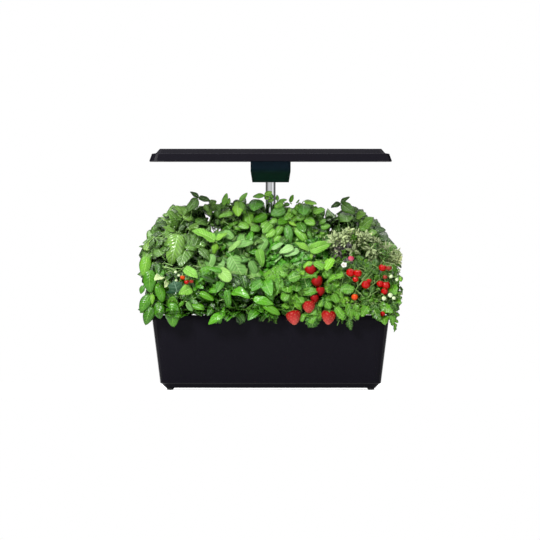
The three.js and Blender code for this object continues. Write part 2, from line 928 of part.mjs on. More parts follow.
function neckPieces() {
  const shell = neckShell();
  const wide = lampWidth;
  const frontSpace = box(wide, wide, wide, 0, splitPlane - seatGap / 2 - wide / 2, neckBottom - overrun);
  const rearSpace = box(wide, wide, wide, 0, splitPlane + seatGap / 2 + wide / 2, neckBottom - overrun);
  const socketOuter = upperTubeRadius + seatGap + socketWall;
  const socketFloor = neckBottom + neckWall + socketWall;
  const socket = post(
    socketOuter,
    neckDrop - neckWall,
    0,
    mastSetback,
    neckBottom + neckWall / 2,
    tubeSides,
  );
  const boss = (x) =>
    bar(
      screwHeadRadius + neckWall / 2,
      neckDepth - neckWall,
      "y",
      x,
      mastSetback - neckDepth / 2 + neckWall / 2,
      screwHeight,
      screwSides,
    );
  const tubeHole = post(
    upperTubeRadius + seatGap,
    socketFloor + neckDrop - neckBottom + overrun,
    0,
    mastSetback,
    neckBottom - overrun,
    tubeSides,
  );
  const screwHoles = [-1, 1].map((side) =>
    bar(
      screwRadius + seatGap,
      rearFace - splitPlane + screwBite + 2 * overrun,
      "y",
      side * screwSpread,
      splitPlane - screwBite - overrun,
      screwHeight,
      screwSides,
    ),
  );
  const bosses = [-1, 1].map((side) => boss(side * screwSpread));
  const front = joined([shell, socket, ...bosses]).intersect(frontSpace);
  const rearBody = joined([shell, ...bosses]).intersect(rearSpace);
  return {
    front: mainBody(less(front, [tubeHole, ...screwHoles])),
    rear: mainBody(less(rearBody, [tubeHole, ...screwHoles])),
  };
}

function screwSolid() {
  const tip = splitPlane - screwBite - rearFace;
  return turned(
    [
      [0, tip],
      [screwRadius, tip],
      [screwRadius, seatGap],
      [screwHeadRadius, seatGap],
      [screwHeadRadius - screwHead / 2, seatGap + screwHead],
      [0, seatGap + screwHead],
    ],
    screwSides,
  );
}

// Controls
const panelBottom = lampTop - panelRecess + seatGap;

function controlPanelSolid() {
  const plate = box(panelLength, panelWidth, panelPlate, 0, panelSetback, panelBottom);
  const holes = buttonPlaces.map((x) =>
    post(buttonRadius + buttonGap, panelPlate + 2 * overrun, x, panelSetback, panelBottom - overrun),
  );
  return less(plate, holes);
}

function buttonSolid() {
  const flangeTop = shellCeiling - seatGap;
  const flangeRadius = buttonRadius + buttonFlangeReach;
  return turned([
    [0, flangeTop - buttonFlange],
    [flangeRadius, flangeTop - buttonFlange],
    [flangeRadius, flangeTop],
    [buttonRadius, flangeTop],
    [buttonRadius, lampTop - buttonProud],
    [0, lampTop - buttonProud],
  ]);
}

function controlBoardSolid() {
  const bottom = controlBoardTop - boardPlate;
  const board = box(controlBoardLength, controlBoardWidth, boardPlate, 0, panelSetback, bottom);
  const switchTop = shellCeiling - buttonFlange - buttonTravel - 2 * seatGap;
  const switchBottom = bottom + boardPlate / 2;
  const switches = buttonPlaces.map((x) =>
    post(switchRadius, switchTop - switchBottom, x, panelSetback, switchBottom, screwSides),
  );
  return joined([board, ...switches]);
}

// Filler flap, closed over the chute, on a pin between the deck's ears. Its free edge is to the back.
function flapSolid() {
  const reach = fillerSetback + fillerWidth / 2 + flapOverlap - hingeAlong;
  const plate = box(
    knuckleLength,
    reach,
    flapPlate,
    fillerAcross,
    hingeAlong + reach / 2,
    deckTop + seatGap,
  );
  const tab = box(
    fillerLength / 2,
    flapTab,
    flapPlate,
    fillerAcross,
    hingeAlong + reach + flapTab / 2,
    deckTop + seatGap,
  );
  const knuckle = bar(
    knuckleRadius,
    knuckleLength,
    "x",
    fillerAcross - knuckleLength / 2,
    hingeAlong,
    hingeHeight,
  );
  const bore = bar(
    hingePinRadius + seatGap,
    knuckleLength + 2 * overrun,
    "x",
    fillerAcross - knuckleLength / 2 - overrun,
    hingeAlong,
    hingeHeight,
    screwSides,
  );
  return less(joined([plate, tab, knuckle]), [bore]);
}

function hingePinSolid() {
  const length = knuckleLength + 2 * seatGap + 2 * earThickness;
  return bar(
    hingePinRadius,
    length,
    "x",
    fillerAcross - length / 2,
    hingeAlong,
    hingeHeight,
    screwSides,
  );
}

// Float: a red drum on a stem that rises through the deck, kept in a cage.
function floatSolid() {
  const bottom = deckUnderside - cageLength + cageWall + seatGap;
  const drum = post(floatRadius, floatBodyHeight, floatAcross, floatSetback, bottom);
  const stem = post(
    stemRadius,
    lipTop + stemProud - bottom - floatBodyHeight / 2,
    floatAcross,
    floatSetback,
    bottom + floatBodyHeight / 2,
    screwSides,
  );
  return drum.add(stem);
}

function floatCageSolid() {
  const inner = floatRadius + rotorGap;
  const outer = inner + cageWall;
  const top = deckUnderside - seatGap;
  const bottom = deckUnderside - cageLength;
  const tube = turned([
    [cageHoleRadius, bottom],
    [outer, bottom],
    [outer, top],
    [inner, top],
    [inner, bottom + cageWall],
    [cageHoleRadius, bottom + cageWall],
    [cageHoleRadius, bottom],
  ]);
  const slot = box(
    4 * floatRadius,
    windowWidth,
    cageLength - floatBodyHeight - windowSill,
    0,
    0,
    bottom + floatBodyHeight,
  );
  return less(tube, [slot]);
}

// Pump: a housing with a stepped chamber open to the front, a cover with slots, and the rotor inside.
const pumpBottom = footHeight + pumpLift;
const pumpFront = pumpSetback - pumpDepth / 2;
const riserAlong = pumpFront + riserRadius + coverPlate;
const rotorHeight = pumpBottom + pumpHeight / 2;
const chamberDepth = bladeLength + 2 * rotorGap;

function pumpHousingSolid() {
  const block = lofted(
    [pumpBottom, pumpBottom + pumpHeight].map((height) =>
      level(pumpWidth / 2, pumpDepth / 2, mastBaseCorner / 2, height),
    ),
    0,
    pumpSetback,
  );
  const chamber = bar(
    bladeReach + rotorGap,
    chamberDepth + overrun,
    "y",
    0,
    pumpFront - overrun,
    rotorHeight,
  );
  const rotorBore = bar(
    rotorRadius + rotorGap,
    chamberDepth + rotorLength + 2 * rotorGap,
    "y",
    0,
    pumpFront,
    rotorHeight,
  );
  const outlet = post(
    riserRadius - riserWall,
    pumpHeight,
    0,
    riserAlong,
    rotorHeight,
  );
  const riserSeat = post(
    riserRadius + seatGap,
    riserSocket + overrun,
    0,
    riserAlong,
    pumpBottom + pumpHeight - riserSocket,
  );
  return less(block, [chamber, rotorBore, outlet, riserSeat]);
}

function pumpRiserSolid() {
  const bottom = pumpBottom + pumpHeight - riserSocket + seatGap;
  const tube = pipe(riserRadius, riserRadius - riserWall, bottom, deckUnderside - seatGap, basketSides);
  const outlet = deckUnderside - spigotLength - 2 * outletRadius;
  return less(tube, [bar(outletRadius, 4 * riserRadius, "x", -2 * riserRadius, 0, outlet, screwSides)]);
}

function pumpCoverSolid() {
  const front = pumpFront - seatGap - coverPlate;
  const width = pumpWidth - coverInset;
  const height = pumpHeight - coverInset;
  const bottom = pumpBottom + coverInset / 2;
  const plate = box(width, coverPlate, height, 0, front + coverPlate / 2, bottom);
  const slots = [];
  for (let i = 0; i < coverSlots; i += 1) {
    const x = ((i + 0.5) / coverSlots - 0.5) * (width - 2 * coverInset);
    slots.push(
      box(coverSlot, 4 * coverPlate, height - 2 * coverInset, x, front, bottom + coverInset),
    );
  }
  return less(plate, slots);
}

function impellerSolid() {
  const start = pumpFront + rotorGap;
  const magnet = bar(
    rotorRadius,
    rotorLength,
    "y",
    0,
    start + bladeLength,
    rotorHeight,
    basketSides,
  );
  const hub = bar(rotorShaftRadius, bladeLength + rotorLength, "y", 0, start, rotorHeight, screwSides);
  const along = start + (bladeLength + rotorGap) / 2;
  const blades = [
    box(2 * bladeReach, bladeLength + rotorGap, bladeThickness, 0, along, rotorHeight - bladeThickness / 2),
    box(bladeThickness, bladeLength + rotorGap, 2 * bladeReach, 0, along, rotorHeight - bladeReach),
  ];
  return joined([magnet, hub, ...blades]);
}

// A straight round piece between two points.
function rod(from, to, radius) {
  const length = from.distanceTo(to);
  const geometry = new THREE.CylinderGeometry(radius, radius, length, stemSides);
  geometry.translate(0, length / 2, 0);
  const way = to.clone().sub(from).normalize();
  geometry.applyQuaternion(new THREE.Quaternion().setFromUnitVectors(new THREE.Vector3(0, 1, 0), way));
  return solid(geometry.translate(from.x, from.y, from.z));
}

// A leaf: a thin arched lens inside six outline points, from its root at the origin along a direction.
function leafSolid(along, length, width, droop, roll) {
  const height = (share) => -droop * length * share * share;
  const outline = [[0, 0, 0]];
  for (const [share, halfShare] of leafShares) {
    outline.push([share * length, halfShare * width, height(share)]);
  }
  outline.push([length, 0, height(1)]);
  for (const [share, halfShare] of leafShares.toReversed()) {
    outline.push([share * length, -halfShare * width, height(share)]);
  }
  const middle = leafShares[0][0] * length;
  const crest = width * leafArchShare;
  const points = [...outline, [middle, 0, crest], [middle, 0, crest - leafThickness]];
  const [top, under] = [outline.length, outline.length + 1];
  const faces = outline.flatMap((_, i) => {
    const next = (i + 1) % outline.length;
    return [next, i, top, i, next, under];
  });
  const geometry = new THREE.BufferGeometry();
  geometry.setAttribute("position", new THREE.Float32BufferAttribute(points.flat(), 3));
  geometry.setIndex(faces);
  const forward = along.clone().normalize();
  const side = new THREE.Vector3(0, 0, 1).cross(forward).normalize();
  const up = forward.clone().cross(side);
  geometry.applyMatrix4(new THREE.Matrix4().makeRotationX(roll));
  return geometry.applyMatrix4(new THREE.Matrix4().makeBasis(forward, side, up));
}

// The room of one pod's plant: [low, high] across, along and above the deck's top.
function roomOf({ row, column, x, y }, topShare) {
  const span = (place, pitch, index, count, limit) => [
    index === 0 ? -limit : place - pitch / 2 + canopyGap / 2,
    index === count - 1 ? limit : place + pitch / 2 - canopyGap / 2,
  ];
  const across = span(x, columnPitch, column, podColumns, canopyHalfWidth);
  const along = span(y, rowPitch, row, podRows, canopyHalfDepth);
  const [bottom, top] = canopyHeights[row];
  return new THREE.Box3(
    new THREE.Vector3(across[0], along[0], deckTop + bottom),
    new THREE.Vector3(across[1], along[1], deckTop + bottom + topShare * (top - bottom)),
  );
}

// What no leaf may enter: the tank and deck, the mast, and the air over the filler flap and the float.
function keepOuts() {
  const corner = tankCornerTop + lipReach + foliageClearance;
  const footprint = lofted(
    [0, lipTop + foliageClearance].map((height) =>
      level(lipHalfWidth + foliageClearance, lipHalfDepth + foliageClearance, corner, height),
    ),
  );
  const mast = post(
    lowerTubeRadius + collarWall + mastClearance,
    backCanopyTop + overrun,
    0,
    mastSetback,
    deckTop,
  );
  const base = box(
    mastBaseWidth + 2 * foliageClearance,
    mastBaseDepth + 2 * foliageClearance,
    mastBaseHeight + mastClearance,
    0,
    mastSetback,
    deckTop,
  );
  const services = [
    [fillerAcross, fillerSetback],
    [floatAcross, floatSetback],
  ].map(([x, y]) => box(serviceWidth, serviceDepth, serviceHeadroom, x, y, deckTop));
  return joined([footprint, mast, base, ...services]);
}

// A direction taken out to a ball that bulges towards the corners of the box round it.
function bulged(way) {
  const fullness = way.toArray().reduce((sum, part) => sum + Math.abs(part) ** canopySquareness, 0);
  return way.clone().divideScalar(fullness ** (1 / canopySquareness));
}

function heartSolid(centre, reach) {
  const ball = new THREE.SphereGeometry(1, heartSides, heartRings).rotateX(Math.PI / 2);
  const spots = ball.attributes.position;
  for (let i = 0; i < spots.count; i += 1) {
    const spot = bulged(new THREE.Vector3().fromBufferAttribute(spots, i));
    spot.multiply(reach).multiplyScalar(heartShare).add(centre);
    spots.setXYZ(i, ...spot.toArray());
  }
  return solid(ball);
}

// One plant: its plug, its stem, a dense heart, and leaves whose tips reach the sides of its room.
function plantSolid(place, kind, topShare, cutters) {
  const room = roomOf(place, topShare);
  const { length, width, leaves, droop } = kinds[kind];
  const centre = room.getCenter(new THREE.Vector3());
  const reach = room.getSize(new THREE.Vector3()).divideScalar(2);
  const parts = [heartSolid(centre, reach)];
  for (let i = 0; i < leaves; i += 1) {
    const rise = THREE.MathUtils.lerp(lowestRiseShare, 1, (i + 1 / 2) / leaves);
    const spread = Math.sqrt(1 - rise * rise);
    const turn = i * goldenTurn + place.column + 2 * place.row;
    const way = new THREE.Vector3(Math.cos(turn) * spread, Math.sin(turn) * spread, rise);
    const tip = bulged(way).multiply(reach);
    const along = way.clone().setZ(way.z - leafHang * (1 - rise) * spread);
    const roll = leafRoll * Math.sin(3 * turn);
    const leaf = leafSolid(along, length, width, droop, roll);
    const base = tip.sub(along.setLength(length)).add(centre);
    parts.push(solid(leaf.translate(...base.toArray())));
  }
  const size = room.getSize(new THREE.Vector3());
  const space = box(size.x, size.y, size.z + droopRoom, centre.x, centre.y, room.min.z - droopRoom);
  const crown = mainBody(less(joined(parts).intersect(space), cutters));
  const root = new THREE.Vector3(place.x, place.y, deckTop + basketFlangeTop);
  const plug = placed(plugSolid(), place.x, place.y, deckTop);
  return joined([crown, rod(root, centre, plantStemRadius), plug]);
}

// Fruit
const canopyPoint = ([across, overhang, height]) =>
  new THREE.Vector3(
    across * canopyHalfWidth,
    -tankTopDepth / 2 - overhang * leafOverhangAlong,
    deckTop + height * backCanopyTop,
  );

function strawberrySolid(centre, radius) {
  const shape = strawberryProfileShares.map(([across, up]) => [across * radius, up * radius]);
  return placed(turned(shape, fruitSides), ...centre.toArray());
}

function tomatoSolid(centre, radius) {
  const ball = new THREE.SphereGeometry(radius, fruitSides, fruitRings).rotateX(Math.PI / 2);
  return solid(ball.translate(...centre.toArray()));
}

// Fruit on stalks that spring from one point.
function trussSolid({ places, fruit, radius, springShares }) {
  const origin = canopyPoint(springShares);
  const hung = places.flatMap((place) => {
    const centre = canopyPoint(place);
    const size = radius * place[3];
    const crown = centre.clone().setZ(centre.z + size / 2);
    return [fruit(centre, size), rod(crown, origin, stalkRadius)];
  });
  return joined([...hung, tomatoSolid(origin, stalkKnot)]);
}

// The air that a truss hangs in, open to the front.
function airRound(truss) {
  const outline = new THREE.Box3().setFromBufferAttribute(geometryOf(truss).attributes.position);
  outline.expandByScalar(fruitGap);
  outline.min.y = -canopyHalfDepth - overrun;
  const size = outline.getSize(new THREE.Vector3());
  const centre = outline.getCenter(new THREE.Vector3());
  return box(size.x, size.y, size.z, centre.x, centre.y, outline.min.z);
}

const trusses = {
  strawberry_truss: {
    places: strawberryShares,
    fruit: strawberrySolid,
    radius: strawberryRadius,
    springShares: [0.29, 0.24, 0.16],
  },
  strawberry_cluster: {
    places: ripeStrawberryShares,
    fruit: strawberrySolid,
    radius: strawberryRadius,
    springShares: [0.31, 0.19, 0.3],
  },
  tomato_truss_left: {
    places: leftTomatoShares,
    fruit: tomatoSolid,
    radius: tomatoRadius,
    springShares: [0.66, 0.24, 0.24],
  },
  tomato_truss_right: {
    places: rightTomatoShares,
    fruit: tomatoSolid,
    radius: tomatoRadius,
    springShares: [0.84, 0.19, 0.3],
  },
};

// Assembly
const garden = new THREE.Group();

function piece(name, made, finish, parent = garden, place = [0, 0, 0]) {
  const mesh = new THREE.Mesh(geometryOf(made), finish);
  mesh.name = name;
  mesh.position.set(...place);
  parent.add(mesh);
  return mesh;
}

piece("tank", tankSolid(), blackShell);
for (const [corner, [x, y]] of Object.entries(footPlaces)) {
  piece(`foot_${corner}`, footSolid(), rubber, garden, [x, y, 0]);
}

const planter = new THREE.Group();
garden.add(planter);
piece("deck", deckSolid(), blackShell, planter);
piece("mast_base", mastBaseSolid(), blackShell, planter);
piece("power_inlet", jackSolid(), blackInner, planter);
piece("filler_flap", flapSolid(), blackShell, planter);
piece("filler_flap_pin", hingePinSolid(), chrome, planter);
piece("level_float", floatSolid(), floatRed, planter);
piece("float_cage", floatCageSolid(), basketPlastic, planter, [floatAcross, floatSetback, 0]);
piece("pump_housing", pumpHousingSolid(), blackInner, planter);
piece("pump_intake_cover", pumpCoverSolid(), blackInner, planter);
piece("pump_impeller", impellerSolid(), boardWhite, planter);
piece("pump_riser", pumpRiserSolid(), blackInner, planter, [0, riserAlong, 0]);

const keptClear = [keepOuts()];
for (const [name, truss] of Object.entries(trusses)) {
  const finish = name.startsWith("tomato") ? tomatoRed : strawberryRed;
  const made = trussSolid(truss);
  piece(name, made, finish, planter);
  keptClear.push(airRound(made));
}

const basketShape = basketSolid();
podPlaces.forEach((place, pod) => {
  const number = String(pod + 1).padStart(2, "0");
  const [kind, topShare] = planting[place.row][place.column];
  const plant = plantSolid(place, kind, topShare, keptClear);
  piece(`net_basket_${number}`, basketShape, basketPlastic, planter, [place.x, place.y, deckTop]);
  piece(`plant_${number}_${kind}`, plant, leafColours[kind], planter);
});

const mast = new THREE.Group();
mast.position.set(0, mastSetback, 0);
planter.add(mast);
piece(
  "mast_lower_tube",
  pipe(lowerTubeRadius, lowerTubeRadius - tubeWall, lowerTubeBottom, lowerTubeTop),
  chrome,
  mast,
);
piece("mast_collar", collarSolid(), blackShell, mast);
piece(
  "mast_upper_tube",
  pipe(upperTubeRadius, upperTubeRadius - tubeWall, upperTubeBottom, upperTubeBottom + upperTubeReach),
  chrome,
  mast,
);

const lamp = new THREE.Group();
planter.add(lamp);
const neck = neckPieces();
piece("neck_housing", neck.front, blackShell, lamp);
piece("neck_rear_cover", neck.rear, blackShell, lamp);
for (const [side, x] of [
  ["left", -screwSpread],
  ["right", screwSpread],
]) {
  const screw = piece(`neck_screw_${side}`, screwSolid(), brass, lamp, [x, rearFace, screwHeight]);
  screw.rotation.x = -Math.PI / 2;
}
piece("lamp_shell", lampShellSolid(), blackShell, lamp);
piece("lamp_frame", lampFrameSolid(), blackShell, lamp);
piece("lamp_diffuser", diffuserSolid(), diffuserSheet, lamp);
piece("led_board", ledBoardSolid(), boardWhite, lamp);
piece("control_panel", controlPanelSolid(), blackInner, lamp);
piece("control_board", controlBoardSolid(), boardWhite, lamp);
["power", "mode", "pump"].forEach((job, i) => {
  piece(`${job}_button`, buttonSolid(), buttonGrey, lamp, [buttonPlaces[i], panelSetback, 0]);
});

export default garden;
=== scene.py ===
"""A countertop hydroponic garden: black tank and lamp, and a dense bed of herbs and fruit in leaf."""

import json
import math

import bpy
import numpy as np
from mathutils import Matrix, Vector


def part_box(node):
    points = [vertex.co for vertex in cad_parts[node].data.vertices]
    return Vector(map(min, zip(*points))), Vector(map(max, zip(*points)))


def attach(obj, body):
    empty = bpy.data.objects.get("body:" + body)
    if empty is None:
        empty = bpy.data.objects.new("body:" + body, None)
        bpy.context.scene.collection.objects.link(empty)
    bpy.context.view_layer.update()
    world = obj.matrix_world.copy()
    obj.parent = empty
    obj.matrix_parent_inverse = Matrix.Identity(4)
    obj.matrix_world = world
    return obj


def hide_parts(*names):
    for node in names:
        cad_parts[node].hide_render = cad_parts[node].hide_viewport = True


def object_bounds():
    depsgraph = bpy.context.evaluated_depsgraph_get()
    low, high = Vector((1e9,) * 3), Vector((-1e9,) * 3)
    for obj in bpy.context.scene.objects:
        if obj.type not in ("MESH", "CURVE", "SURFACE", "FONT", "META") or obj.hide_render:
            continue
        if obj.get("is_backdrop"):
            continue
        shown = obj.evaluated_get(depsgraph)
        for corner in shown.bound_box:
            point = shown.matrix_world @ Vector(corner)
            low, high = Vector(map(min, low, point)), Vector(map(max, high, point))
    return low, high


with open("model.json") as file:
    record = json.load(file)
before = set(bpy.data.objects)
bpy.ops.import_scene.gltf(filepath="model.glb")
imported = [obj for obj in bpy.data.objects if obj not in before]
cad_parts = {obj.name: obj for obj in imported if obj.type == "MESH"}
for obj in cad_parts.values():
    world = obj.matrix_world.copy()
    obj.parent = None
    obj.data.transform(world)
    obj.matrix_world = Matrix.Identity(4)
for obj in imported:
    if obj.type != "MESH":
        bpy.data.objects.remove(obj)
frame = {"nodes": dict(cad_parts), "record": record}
cad_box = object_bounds()
nodes = frame["nodes"]
scene = bpy.context.scene

MM = 0.001

# The photograph: its scale, the column of the object's middle and the row of the table.
PHOTO_SIDE = 540
PIXEL = 1.57 * MM
MIDDLE_COLUMN = 270.6
TABLE_ROW = 390.1
PHOTO_PLANE = -100 * MM

# The camera: focal length and sensor width in millimetres, and how far it sees in metres
LENS = 1000
SENSOR = 36
FARTHEST = 100


def across(column):
    return (column - MIDDLE_COLUMN) * PIXEL


def height(row):
    return (TABLE_ROW - row) * PIXEL


def make_camera():
    data = bpy.data.cameras.new("camera")
    data.lens = LENS
    data.sensor_width = SENSOR
    data.clip_end = FARTHEST
    camera = bpy.data.objects.new("camera", data)
    distance = PHOTO_SIDE * PIXEL * LENS / SENSOR
    middle = PHOTO_SIDE / 2
    camera.location = (across(middle), PHOTO_PLANE - distance, height(middle))
    camera.rotation_euler = (math.pi / 2, 0, 0)
    scene.collection.objects.link(camera)
    scene.camera = camera


def feed(tree, value, socket):
    """Links a node's output to a socket, or sets a plain value there."""
    if isinstance(value, bpy.types.NodeSocket):
        tree.links.new(value, socket)
    elif isinstance(value, (tuple, list)) and len(value) == 3 and len(socket.default_value) == 4:
        socket.default_value = (*value, 1)
    else:
        socket.default_value = value


def add_math(tree, operation, *values, clamp=False):
    node = tree.nodes.new("ShaderNodeMath")
    node.operation = operation
    node.use_clamp = clamp
    for value, socket in zip(values, node.inputs):
        feed(tree, value, socket)
    return node.outputs[0]


# Node helpers for materials
class Shading:
    """The nodes of one material, with its Principled shader and short calls to add and link nodes."""

    def __init__(self, name, colour, roughness, metallic=0.0, specular=0.5):
        self.material = bpy.data.materials.new(name)
        self.material.use_nodes = True
        self.tree = self.material.node_tree
        self.shader = self.tree.nodes["Principled BSDF"]
        self.shader.inputs["Base Color"].default_value = (*colour, 1)
        self.shader.inputs["Roughness"].default_value = roughness
        self.shader.inputs["Metallic"].default_value = metallic
        self.shader.inputs["Specular IOR Level"].default_value = specular

    def link(self, source, target):
        self.tree.links.new(source, target)

    def put(self, value, socket):
        feed(self.tree, value, socket)

    def math(self, operation, *values, clamp=False):
        return add_math(self.tree, operation, *values, clamp=clamp)

    def mix(self, share, first, second):
        node = self.tree.nodes.new("ShaderNodeMix")
        node.data_type = "RGBA"
        self.put(share, node.inputs["Factor"])
        self.put(first, node.inputs["A"])
        self.put(second, node.inputs["B"])
        return node.outputs["Result"]

    def range(self, value, low, high, to_low=0.0, to_high=1.0):
        node = self.tree.nodes.new("ShaderNodeMapRange")
        node.interpolation_type = "SMOOTHSTEP"
        for name, number in (
            ("Value", value),
            ("From Min", low),
            ("From Max", high),
            ("To Min", to_low),
            ("To Max", to_high),
        ):
            self.put(number, node.inputs[name])
        return node.outputs["Result"]

    def place(self):
        return self.tree.nodes.new("ShaderNodeTexCoord").outputs["Object"]

    def noise(self, scale, detail):
        node = self.tree.nodes.new("ShaderNodeTexNoise")
        node.inputs["Scale"].default_value = scale
        node.inputs["Detail"].default_value = detail
        self.link(self.place(), node.inputs["Vector"])
        return node.outputs["Fac"]

    def cells(self, scale):
        node = self.tree.nodes.new("ShaderNodeTexVoronoi")
        node.inputs["Scale"].default_value = scale
        self.link(self.place(), node.inputs["Vector"])
        return node.outputs["Distance"]

    def split(self, vector):
        node = self.tree.nodes.new("ShaderNodeSeparateXYZ")
        self.link(vector, node.inputs[0])
        return node.outputs

    def attribute(self, name):
        node = self.tree.nodes.new("ShaderNodeAttribute")
        node.attribute_name = name
        return node.outputs["Vector"]

    def colour(self, socket):
        self.link(socket, self.shader.inputs["Base Color"])

    def roughness(self, socket):
        self.link(socket, self.shader.inputs["Roughness"])

    def bump(self, height_socket, strength, distance):
        node = self.tree.nodes.new("ShaderNodeBump")
        node.inputs["Strength"].default_value = strength
        node.inputs["Distance"].default_value = distance
        self.link(height_socket, node.inputs["Height"])
        self.link(node.outputs["Normal"], self.shader.inputs["Normal"])


# Rigid materials: scales are in waves or cells per metre; most values of a noise lie in the middle band.
MIDDLE_BAND = (0.3, 0.7)
CLOUD_SCALE = 14
GRAIN_SCALE = 2600
GRAIN_DEPTH = 0.05 * MM
STREAK_SCALE = 900
CHROME_ROUGHNESS = (0.05, 0.11)
# Painted reflection on the neck: the green of the leaves low down, fading into a blue cast at the top
NECK_REFLECTION_FADE = (0.35, 0.65)
NECK_PAINTED_LEAF_REFLECTION = (0.0006, 0.023, 0.01)
NECK_PAINTED_BLUE_REFLECTION = (0.014, 0.029, 0.047)
NECK_DARK = (0.003, 0.014, 0.014)
NECK_CLOUD_SCALE = 30
NECK_CLOUD_SHARE = 0.25


def moulded(name, colour, roughness, grain, specular=0.5):
    """Moulded plastic: slightly uneven gloss and a faint grain."""
    look = Shading(name, colour, roughness, specular=specular)
    cloud = look.noise(CLOUD_SCALE, 4)
    look.roughness(look.range(cloud, *MIDDLE_BAND, roughness * 0.85, roughness * 1.2))
    look.bump(look.noise(GRAIN_SCALE, 2), grain, GRAIN_DEPTH)
    return look.material


def chrome_metal():
    look = Shading("chrome", (0.78, 0.79, 0.81), 0.07, metallic=1)
    streak = look.noise(STREAK_SCALE, 2)
    look.roughness(look.range(streak, *MIDDLE_BAND, *CHROME_ROUGHNESS))
    return look.material


def neck_plastic():
    """Gloss black with a painted reflection: the green of the leaves below and a blue cast at the top."""
    look = Shading("neck_gloss_plastic", (0.002, 0.008, 0.01), 0.25, specular=0.03)
    low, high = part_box("neck_housing")
    up = look.split(look.place())["Z"]
    fade_start, fade_end = (low.z + share * (high.z - low.z) for share in NECK_REFLECTION_FADE)
    rise = look.range(up, fade_start, fade_end)
    cloud = look.range(look.noise(NECK_CLOUD_SCALE, 3), 0.35, 0.65, 0.8, 1.2)
    # Painted reflection: leaf green below, a blue cast above
    painted_reflection = look.mix(rise, NECK_PAINTED_LEAF_REFLECTION, NECK_PAINTED_BLUE_REFLECTION)
    look.colour(look.mix(look.math("MULTIPLY", cloud, NECK_CLOUD_SHARE), painted_reflection, NECK_DARK))
    look.bump(look.noise(GRAIN_SCALE, 2), 0.12, GRAIN_DEPTH)
    return look.material


def dress_casings():
    black = moulded("black_gloss_plastic", (0.0048, 0.0042, 0.0072), 0.24, 0.1, specular=0.04)
    dull = moulded("black_matt_plastic", (0.012, 0.012, 0.014), 0.55, 0.5)
    net = moulded("net_plastic", (0.014, 0.014, 0.015), 0.5, 0.5)
    rubber = moulded("foot_rubber", (0.01, 0.01, 0.011), 0.8, 0.7)
    white = moulded("board_white", (0.75, 0.77, 0.74), 0.5, 0.2)
    frosted = moulded("frosted_sheet", (0.78, 0.83, 0.86), 0.35, 0.4)
    grey = moulded("button_grey", (0.05, 0.05, 0.058), 0.5, 0.4)
    red = moulded("float_red", (0.55, 0.03, 0.015), 0.45, 0.3)
    brass = Shading("screw_brass", (0.55, 0.42, 0.2), 0.3, metallic=1).material
    chrome = chrome_metal()
    neck = neck_plastic()
    by_slot = {
        "shell_black": black,
        "inner_black": dull,
        "basket_plastic": net,
        "rubber_black": rubber,
        "board_white": white,
        "diffuser_sheet": frosted,
        "button_grey": grey,
        "float_red": red,
        "brass": brass,
        "chrome": chrome,
    }
    for part in frame["record"]["subparts"]:
        material = by_slot.get(part["material_slot"])
        if part["node"] in ("neck_housing", "neck_rear_cover"):
            material = neck
        if material:
            soften(nodes[part["node"]], material)


ROUNDING = 0.7 * MM
ROUNDING_SHARE = 0.12
ROUNDED_FROM = math.radians(35)


def soften(node, material):
    """Gives a rigid piece its material, smooth shading and a small rounding along its edges."""
    node.data.materials.clear()
    node.data.materials.append(material)
    for face in node.data.polygons:
        face.material_index = 0
        face.use_smooth = True
    low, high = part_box(node.name)
    thin = min(high - low)
    rounding = node.modifiers.new("rounding", "BEVEL")
    rounding.width = min(ROUNDING, thin * ROUNDING_SHARE)
    rounding.segments = 2
    rounding.limit_method = "ANGLE"
    rounding.angle_limit = ROUNDED_FROM
    rounding.harden_normals = True


# Light and floor
FLOOR_SIDE = 2.8
FLOOR_GLOW = 0.72
MIRRORED_GLOW = 0.3


def make_floor():
    mesh = bpy.data.meshes.new("floor")
    half = FLOOR_SIDE / 2
    square = [(-half, -half, 0), (half, -half, 0), (half, half, 0), (-half, half, 0)]
    mesh.from_pydata(square, [], [(0, 1, 2, 3)])
    floor = bpy.data.objects.new("floor", mesh)
    scene.collection.objects.link(floor)
    look = Shading("floor_white", (0.9, 0.9, 0.9), 0.9, specular=0.0)
    path = look.tree.nodes.new("ShaderNodeLightPath")
    mirrored = look.math("MAXIMUM", path.outputs["Is Glossy Ray"], path.outputs["Is Transmission Ray"])
    seen = look.math("MULTIPLY", path.outputs["Is Camera Ray"], FLOOR_GLOW)
    look.put((1, 1, 1), look.shader.inputs["Emission Color"])
    glow = look.math("MAXIMUM", seen, look.math("MULTIPLY", mirrored, MIRRORED_GLOW))
    look.link(glow, look.shader.inputs["Emission Strength"])
    mesh.materials.append(look.material)
    floor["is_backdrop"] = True


# What polished surfaces see round them: the azimuth from the front in degrees, and how bright it is there.
STUDIO_AZIMUTHS = [
    (-180, 0.1), (-140, 0.2), (-120, 0.08), (-95, 0.1), (-72, 0.3), (-40, 0.85), (-18, 0.7), (-2, 0.35),
    (14, 0.4), (34, 1.0), (60, 1.0), (78, 0.1), (92, 0.08), (118, 0.2), (140, 0.2), (180, 0.1),
]
STRIP_HEIGHT = 0.16
SOFTBOX_HEIGHT = 0.55
SOFTBOX_LEVEL = 2.4
FLAG_LEVEL = 0.05
AMBIENT = 0.115


